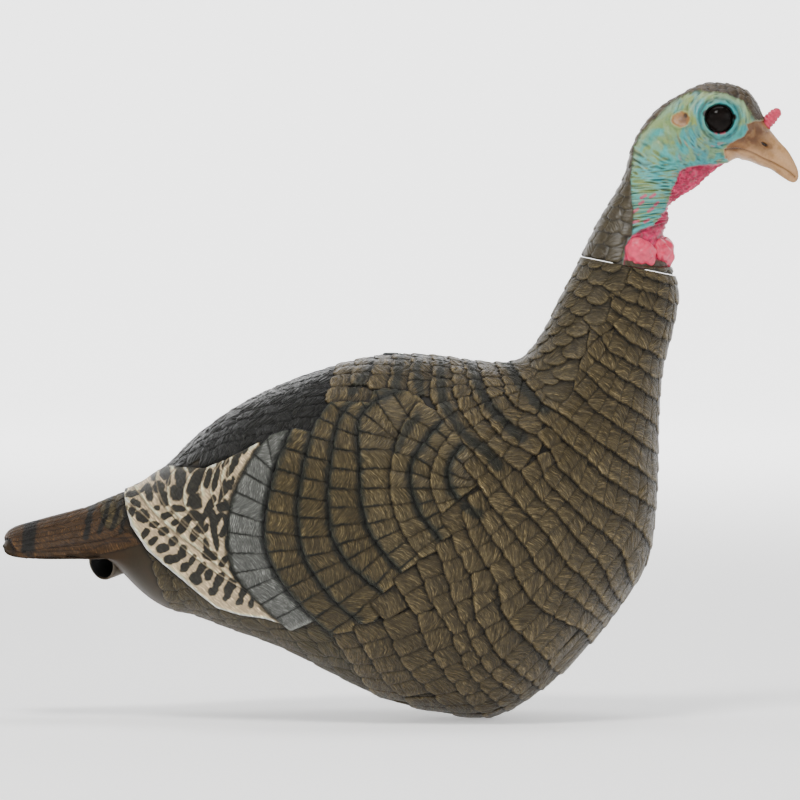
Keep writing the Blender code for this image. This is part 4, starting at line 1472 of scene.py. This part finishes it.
# The ear opening, bare and tan, with a rim.
(ex, ez), = sq([(679.4, 120.5)])
u, v = (hx - ex), (hz - ez)
ear = np.hypot((u * 0.94 + v * 0.34) / 7.2, (v * 0.94 - u * 0.34) / 5.9)
ear = ear + 0.35 * (fractal(T.P, 3.5, 79, 2) - 0.5)
T.H *= 1 - 0.9 * (1 - smooth(ear, 0.9, 1.2)) * flank
mix(srgb(172, 128, 86), (1 - smooth(ear, 0.78, 1.1)) * flank)
mix(srgb(104, 68, 42), 0.85 * (1 - smooth(np.hypot((u - 1.6) / 4.2, (v - 0.4) / 3.8) , 0.3, 1.2)) * flank)
mix(srgb(62, 42, 28), 0.95 * (1 - smooth(np.hypot((u - 3.4) / 2.0, (v - 3.2) / 2.4), 0.4, 1.1)) * flank)
T.H += (0.6 * np.exp(-(((ear - 1.0) / 0.16) ** 2)) - 0.45 * (1 - smooth(ear, 0.3, 0.95))) * flank
# Painted shade just outside the ear's raised rim.
T.C *= (1 - 0.2 * np.exp(-(((ear - 1.18) / 0.1) ** 2)) * flank)[..., None]

# Throat skin: a thin pink web under the jaw, running down to the lobes.
pink, pink_d = soft(PINK, 1.0, 0.6, 8, 3.0)
# Painted shadow line just outside the pink skin's edge.
T.C *= (1 - 0.32 * np.where(pink_d < 0, np.exp(pink_d / 0.9), 0))[..., None]
mix(ROSE_DEEP, pink)
mix(ROSE, pink * smooth(fractal(T.P, 4.0, 81), 0.40, 0.62))
mix(srgb(150, 130, 128), 0.35 * pink * smooth(noise(T.P, 2.2, 82), 0.62, 0.8))
q = np.stack([(hx + 0.7 * hz) / 2.3, (hx - 0.7 * hz) / 7.0, T.y / 5.0], -1)
T.H += pink * (0.7 * (noise(q, 1.0, 83) - 0.5))
web = pink * smooth(hz, 352, 366)
T.H -= 1.5 * smooth(pink_d, -0.6, 1.2) * pink * smooth(hz, 345, 352) * 0.6
T.y[:] *= 1 - 0.42 * web * smooth(pink_d, -0.8, 3.0)
for u0, v0, du, dv in ((642, 197, 4.5, -2.6), (651, 196, 4.5, -3), (634, 211, 5, -3.5),
                       (649, 210, 4.5, -3.2), (634, 222, 6, -1.5), (645, 221, 4, -2.4),
                       (640, 203, 3.5, -2.2), (655, 204, 3, -3)):
    line = sq([(u0 - du / 2, v0 - dv / 2), (u0 + du / 2, v0 + dv / 2)])
    d, _, _ = nearest_on(line, hx, hz)
    mix(srgb(216, 92, 124), 0.8 * (1 - smooth(d, 0.6, 1.5)))

# Below the lobes the seam is feathered.
mix(srgb(70, 60, 44), pink * (1 - smooth(hz + 1.2 * (fractal(T.P, 3.0, 94) - 0.5), 325.6, 328.0)))

# Crown and nape strip: short plumage standing just proud of the skin.
T.H += crown * (0.9 + 0.9 * (fractal(T.P, 3.4, 84) - 0.5) + 0.4 * (noise(T.P, 1.2, 85) - 0.5))
# Painted shade at the foot of the crown plumage's edge.
T.C *= (1 - 0.5 * np.where(crown_d < 0, np.exp(crown_d / 0.8), 0))[..., None]
mix(BROWN, crown)
T.C *= (1 + crown * (0.75 * (fractal(T.P, 2.2, 86) - 0.5) - 0.35 * smooth(noise(T.P, 2.6, 87), 0.55, 0.75)))[..., None]
T.G[:] = T.G * (1 - crown) + 0.6 * crown

# Beak.
beak, beak_d = soft(BEAK, 0.9, 0.5, 9, 3.0)
mix(HORN, beak)
for bx, by, wide, high, amount in ((757, 131, 9.5, 3.8, 0.95), (747, 139, 8.0, 4.4, 0.8),
                                   (735, 149, 8.0, 3.0, 0.85), (765, 147, 6.5, 2.8, 0.6),
                                   (741, 131, 5.0, 3.0, 0.5)):
    (ux, uz), = sq([(bx, by)])
    d = np.hypot((hx - ux) / wide, (hz - uz) / high) + 0.5 * (fractal(T.P, 3.0, 98, 2) - 0.5)
    mix(srgb(104, 66, 36), amount * beak * (1 - smooth(d, 0.3, 1.25)))
mouth = even(sq([(724, 150.6), (736, 149.4), (750, 153), (762, 158.8), (774.4, 164.4),
                 (786.6, 171), (794, 177)]), 1.0)
md, mrun, mside = nearest_on(mouth, hx, hz)
ridge = np.clip((hz - np.interp(hx, mouth[:, 0], mouth[:, 1])) / 14.0, -1, 1)
mix(HORN_TOP, beak * 0.9 * smooth(ridge + 0.5 * (fractal(T.P, 5.0, 96) - 0.5), 0.0, 0.55) * smooth(-hx, -292, -270))
mix(srgb(150, 104, 66), beak * 0.6 * smooth(-np.abs(hz - np.interp(hx, mouth[:, 0], mouth[:, 1]) - 3), -4, -1) * smooth(-hx, -276, -258))
mix(srgb(172, 134, 98), beak * 0.5 * smooth(fractal(T.P, 5.0, 88), 0.5, 0.7))
mix(srgb(130, 90, 58), beak * 0.6 * np.exp(-((md / 1.0) ** 2)))
mix(srgb(112, 74, 44), beak * 0.6 * (1 - smooth(np.hypot((hx - 254.5) / 1.6, hz - 410.0), 1.0, 4.0)))
T.H += beak * (0.25 - T.H)
T.H -= beak * 1.1 * np.exp(-((md / 0.75) ** 2))
T.H -= beak * 0.45 * smooth(-ridge, 0.0, 0.08)
T.H += 0.7 * np.exp(-((np.minimum(beak_d, 0) / 1.4) ** 2)) * (1 - beak) * (hx > 245) * (hz > 402)
(nx_, nz_), = sq([(763.5, 144.6)])
u, v = hx - nx_, hz - nz_
nostril = np.hypot((u * 0.87 - v * 0.5) / 3.0, (v * 0.87 + u * 0.5) / 1.35)
T.H -= beak * 1.6 * (1 - smooth(nostril, 0.5, 1.2))
T.H += beak * 0.35 * np.exp(-(((nostril - 1.6) / 0.3) ** 2))
mix(srgb(60, 38, 24), beak * 0.9 * (1 - smooth(nostril, 0.55, 1.15)))
mix(srgb(134, 98, 66), beak * 0.5 * np.exp(-(((nostril - 1.7) / 0.5) ** 2)))
T.G[:] = T.G * (1 - beak) + 0.36 * beak
q = np.stack([hx / 9.0, hz / 1.1, T.y / 1.1], -1)
T.H += beak * 0.10 * (noise(q, 1.0, 89) - 0.5)

# Nape feathers carry on down to the seam, and lap round below the lobes.
nape_zone, nape_d = soft(NAPE_TOP, 0.5, 0.3, 4, 3.0)
mix(srgb(72, 64, 48), nape_zone)
T.H *= 1 - nape_zone
T.G[:] = T.G * (1 - nape_zone) + 0.5 * nape_zone
# Painted shade in the groove where the nape feathers meet the bare skin.
T.C *= (1 - 0.4 * np.exp(-((nape_d / 0.9) ** 2)) * (hz < 425))[..., None]
nape_top = look(srgb(68, 61, 46), variety=0.16, rough=0.48, streak=0.45, root=0.72, edge=0.2,
                patches=0.2)
crown_look = look(srgb(76, 65, 51), variety=0.35, rough=0.5, streak=0.6, root=0.7, edge=0.2)
run = np.concatenate([[0], np.cumsum(np.linalg.norm(np.diff(T.P[:, 0], axis=0), axis=1))])
HH = T.nj // 2
keep = smooth(nape_d, -1.4, 0.2)
for m in range(0, 26):
    at = 0.5 + (10.6 * m if m < 9 else 95.4 + 7.6 * (m - 9))
    i = int(np.searchsorted(run, at))
    if i >= T.ni - 2 or T.P[i, 0, 0] > 268:
        break
    small = T.P[i, 0, 2] > 405
    around = np.concatenate(
        [[0], np.cumsum(np.linalg.norm(np.diff(T.P[i, : HH + 1], axis=0), axis=1))]
    )
    step = 7.2 if small else float(np.interp(m, [0, 4, 9], [14.0, 12.5, 10.0]))
    for n in range(9, -1, -1):
        j = int(np.searchsorted(around, (n + (0.5 if m % 2 else 0.0)) * step))
        if j >= HH:
            continue
        for side in (-1, 1):
            if side > 0 and j == 0:
                continue
            jj = j if side < 0 else (T.nj - j) % T.nj
            if not small and not in_poly(NAPE_TOP, T.P[i, jj, 0] + 1.5, T.P[i, jj, 2]):
                continue
            if small and crown[i, jj] < 0.5:
                continue
            d = unit(T.P[max(i - 3, 0), jj] - T.P[min(i + 1, T.ni - 1), jj])
            if small:
                T.press((i, jj), d, 15, 4.4, crown_look, base=0.7, lift=0.9, depth=4.0,
                        power=2.2, groove=0.45, keep=crown)
            else:
                T.press((i, jj), d, 23, 0.60 * step, nape_top, base=0.25, lift=1.3,
                        depth=6.5, power=2.4, groove=0.55, keep=keep)
# Dark wash and painted shade in the head's grooves, painted highlight on its ridges.
wash_shade_and_highlight(T, 3, 0.6, 0.6, 0.16)
richer(T, 1.3)
T.C *= 0.545
T.C *= (0.95 + 0.10 * noise(T.P, 1.2, 93))[..., None]

head_outer, head_inner, head_shade = finished(T, 2.4)
head_outer, head_inner = trim(head_outer, 1), trim(head_inner, 1)
slim = smooth(hx, 262, 296)[..., None]
centre_line = T.P.mean(axis=1, keepdims=True)
head_inner = head_inner * (1 - slim) + (centre_line + (T.P - centre_line) * 0.35) * slim
head_mat = material_skin("painted_head", bump=0.25, grain=0.22, sheen=0.35)
hc = np.ones(((T.ni - 1) // Q, T.nj // Q), bool)
head = build("head_and_throat", head_outer, head_inner, head_shade, T, hc)
head.data.materials.append(head_mat)
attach(head, "head_unit")
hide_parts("head")


# ---- eyes, snood and lobes ------------------------------------------------------------------
def ball(name, centre, radii, shape=None, u=64, v=40, poles="Y"):
    bm = bmesh.new()
    bmesh.ops.create_uvsphere(bm, u_segments=u, v_segments=v, radius=1.0)
    if poles == "Y":
        bmesh.ops.transform(bm, verts=bm.verts, matrix=Matrix.Rotation(math.pi / 2, 4, "X"))
    p = np.array([v.co[:] for v in bm.verts])
    w = p * np.array(radii)
    if shape is not None:
        w = w * (1 + shape(w + np.array(centre)))[:, None]
    for vert, c in zip(bm.verts, (w + np.array(centre)) * MM):
        vert.co = c
    mesh = bpy.data.meshes.new(name)
    bm.to_mesh(mesh)
    bm.free()
    mesh.shade_smooth()
    ob = bpy.data.objects.new(name, mesh)
    bpy.context.scene.collection.objects.link(ob)
    return ob


eye_mat = plain("glass_eye", (0.006, 0.0045, 0.004), 0.05, speckle=0.5, scale=180, bump=0.0,
                coat=0.0, rough_swing=0.03)
eye_mat.node_tree.nodes["Principled BSDF"].inputs["Specular IOR Level"].default_value = 0.05
for side, sign in (("right", -1), ("left", 1)):
    ob = ball(f"eyeball_{side}", (EYE[0], sign * EYE[1], EYE[2]), (EYE_R - 0.5, EYE_BULGE, EYE_R - 0.5))
    ob.data.materials.append(eye_mat)
    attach(ob, "head_unit")
    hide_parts(f"eye_{side}")

rose_mat = plain("pink_wattle", srgb(226, 62, 96) * 0.76, 0.34, speckle=0.16, scale=260, bump=0.45)
snood = turned(
    "snood_finger",
    [(0, -5.5), (2.4, -5.5), (2.5, 0.2), (4.8, 0.2), (5.3, 0.7), (5.3, 1.5), (4.6, 2.3),
     (4.6, 2.6), (5.2, 3.3), (5.15, 4.2), (4.4, 5.0), (4.4, 5.3), (5.0, 6.0), (4.9, 6.9),
     (4.15, 7.7), (4.15, 8.0), (4.7, 8.7), (4.6, 9.6), (3.9, 10.4), (3.9, 10.7), (4.35, 11.4),
     (4.2, 12.4), (3.55, 13.2), (3.75, 13.9), (3.3, 15.0), (1.9, 16.1), (0.8, 16.6), (0, 16.7)],
    48, along(SNOOD_BASE, SNOOD_DIR),
    lambda a, z: 0.18 * math.sin(3 * a + 0.9 * z) + 0.1 * math.sin(7 * a - 1.3 * z),
)
snood.data.materials.append(plain("snood_flesh", srgb(214, 52, 86) * 0.68, 0.42, speckle=0.25, scale=420, bump=0.4))
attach(snood, "head_unit")
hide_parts("snood")


def lumpy(w):
    return (0.42 * (fractal(w, 9.0, 40, 2) - 0.5) + 0.16 * (noise(w, 3.4, 43) - 0.5)
            + 0.03 * (noise(w, 1.6, 41) - 0.5))


for name, centre, radii in (
    ("throat_lobe_right", (184.6, -26.2, 331.6), (12.4, 10.6, 11.8)),
    ("throat_lobe_left", (184.6, 26.2, 331.6), (12.4, 10.6, 11.8)),
    ("throat_lobe_front", (200.8, 0, 332.2), (11.6, 24.0, 12.6)),
):
    ob = ball(name, centre, radii, lumpy, 72, 48)
    ob.data.materials.append(rose_mat)
    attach(ob, "head_unit")
    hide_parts("head")

# ---- fittings: the CAD solids themselves, better finished --------------------------------------
nylon = plain("bearing_nylon", srgb(205, 201, 188), 0.42, speckle=0.06, scale=500, bump=0.2)
rubber = plain("black_rubber", (0.018, 0.018, 0.019), 0.6, speckle=0.35, scale=700, bump=0.4)
dark_nylon = plain("dark_nylon", srgb(52, 50, 44), 0.5, speckle=0.1, scale=500, bump=0.2)
steel = plain("brushed_steel", (0.46, 0.46, 0.47), 0.32, metal=1.0, speckle=0.12, scale=60,
              bump=0.12, stretch=(9, 9, 0.6))
for node, m in (("back_grommet", rubber), ("back_grommet_ring", rubber),
                ("belly_bushing", nylon), ("belly_bushing_nut", nylon),
                ("thrust_washer", nylon), ("stake_post", steel), ("neck_socket", dark_nylon),
                ("neck_plug", dark_nylon), ("neck_o_ring", rubber)):
    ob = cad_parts[node]
    ob.data.materials.clear()
    ob.data.materials.append(m)

# ---- floor, light and camera ---------------------------------------------------------------------
def sweep(name, z):
    """A wide round floor that curves up into a backdrop on every side."""
    bm = bmesh.new()
    profile = [(0.6, z), (3.0, z), (8.0, z)]
    for k in range(1, 13):
        a = math.pi / 2 * k / 12
        profile.append((8.0 + 3.0 * math.sin(a), z + 3.0 * (1 - math.cos(a))))
    profile.append((11.0, z + 7.0))
    steps = 96
    turns = [(math.cos(2 * math.pi * s / steps), math.sin(2 * math.pi * s / steps)) for s in range(steps)]
    rows = [[bm.verts.new((r * x, r * y, h)) for x, y in turns] for r, h in profile]
    middle = bm.verts.new((0, 0, z))
    for s in range(steps):
        t = (s + 1) % steps
        bm.faces.new((middle, rows[0][s], rows[0][t]))
        for a, b in zip(rows, rows[1:]):
            bm.faces.new((a[s], b[s], b[t], a[t]))
    mesh = bpy.data.meshes.new(name)
    bm.to_mesh(mesh)
    bm.free()
    mesh.shade_smooth()
    ob = bpy.data.objects.new(name, mesh)
    bpy.context.scene.collection.objects.link(ob)
    return ob


floor = sweep("floor", -0.0176)
floor_mat = bpy.data.materials.new("studio_paper")
floor_mat.use_nodes = True
fp = floor_mat.node_tree.nodes["Principled BSDF"]
fp.inputs["Base Color"].default_value = (0.90, 0.90, 0.90, 1)
fp.inputs["Roughness"].default_value = 0.9
fp.inputs["Emission Color"].default_value = (1, 1, 1, 1)
fp.inputs["Emission Strength"].default_value = 0.46
floor.data.materials.append(floor_mat)


def lamp(name, at, to, size, power, colour=(1, 1, 1)):
    data = bpy.data.lights.new(name, "AREA")
    data.shape = "RECTANGLE"
    data.size, data.size_y = size
    data.energy = power
    data.color = colour
    ob = bpy.data.objects.new(name, data)
    bpy.context.scene.collection.objects.link(ob)
    ob.location = at
    ob.rotation_euler = (Vector(to) - Vector(at)).to_track_quat("-Z", "Y").to_euler()
    return ob


lamp("key", (-0.5, -1.3, 2.1), (0, 0, 0.2), (0.7, 0.7), 52, (1.0, 0.985, 0.96))
lamp("fill", (2.0, -1.2, 1.0), (0.05, 0, 0.2), (1.2, 1.6), 10, (0.97, 0.985, 1.0))
lamp("top", (0.1, 0.5, 2.2), (0, 0, 0.2), (1.6, 1.2), 24)
lamp("backdrop", (0.0, 5.0, 5.0), (0, 9.5, 0.4), (6.0, 2.0), 1000)
world = bpy.data.worlds.new("studio")
world.use_nodes = True
world.node_tree.nodes["Background"].inputs["Color"].default_value = (1, 1, 1, 1)
world.node_tree.nodes["Background"].inputs["Strength"].default_value = 0.26
bpy.context.scene.world = world

cam = bpy.data.cameras.new("camera")
cam.lens, cam.sensor_width = 300.0, 36.0
camera = bpy.data.objects.new("camera", cam)
bpy.context.scene.collection.objects.link(camera)
target = Vector((0.00675, 0.0, 0.2216))
lift = math.radians(1.5)
reach = 0.6 * 300.0 / 36.0
camera.location = target + Vector((0, -math.cos(lift), math.sin(lift))) * reach
camera.rotation_euler = (target - camera.location).to_track_quat("-Z", "Y").to_euler()
bpy.context.scene.camera = camera
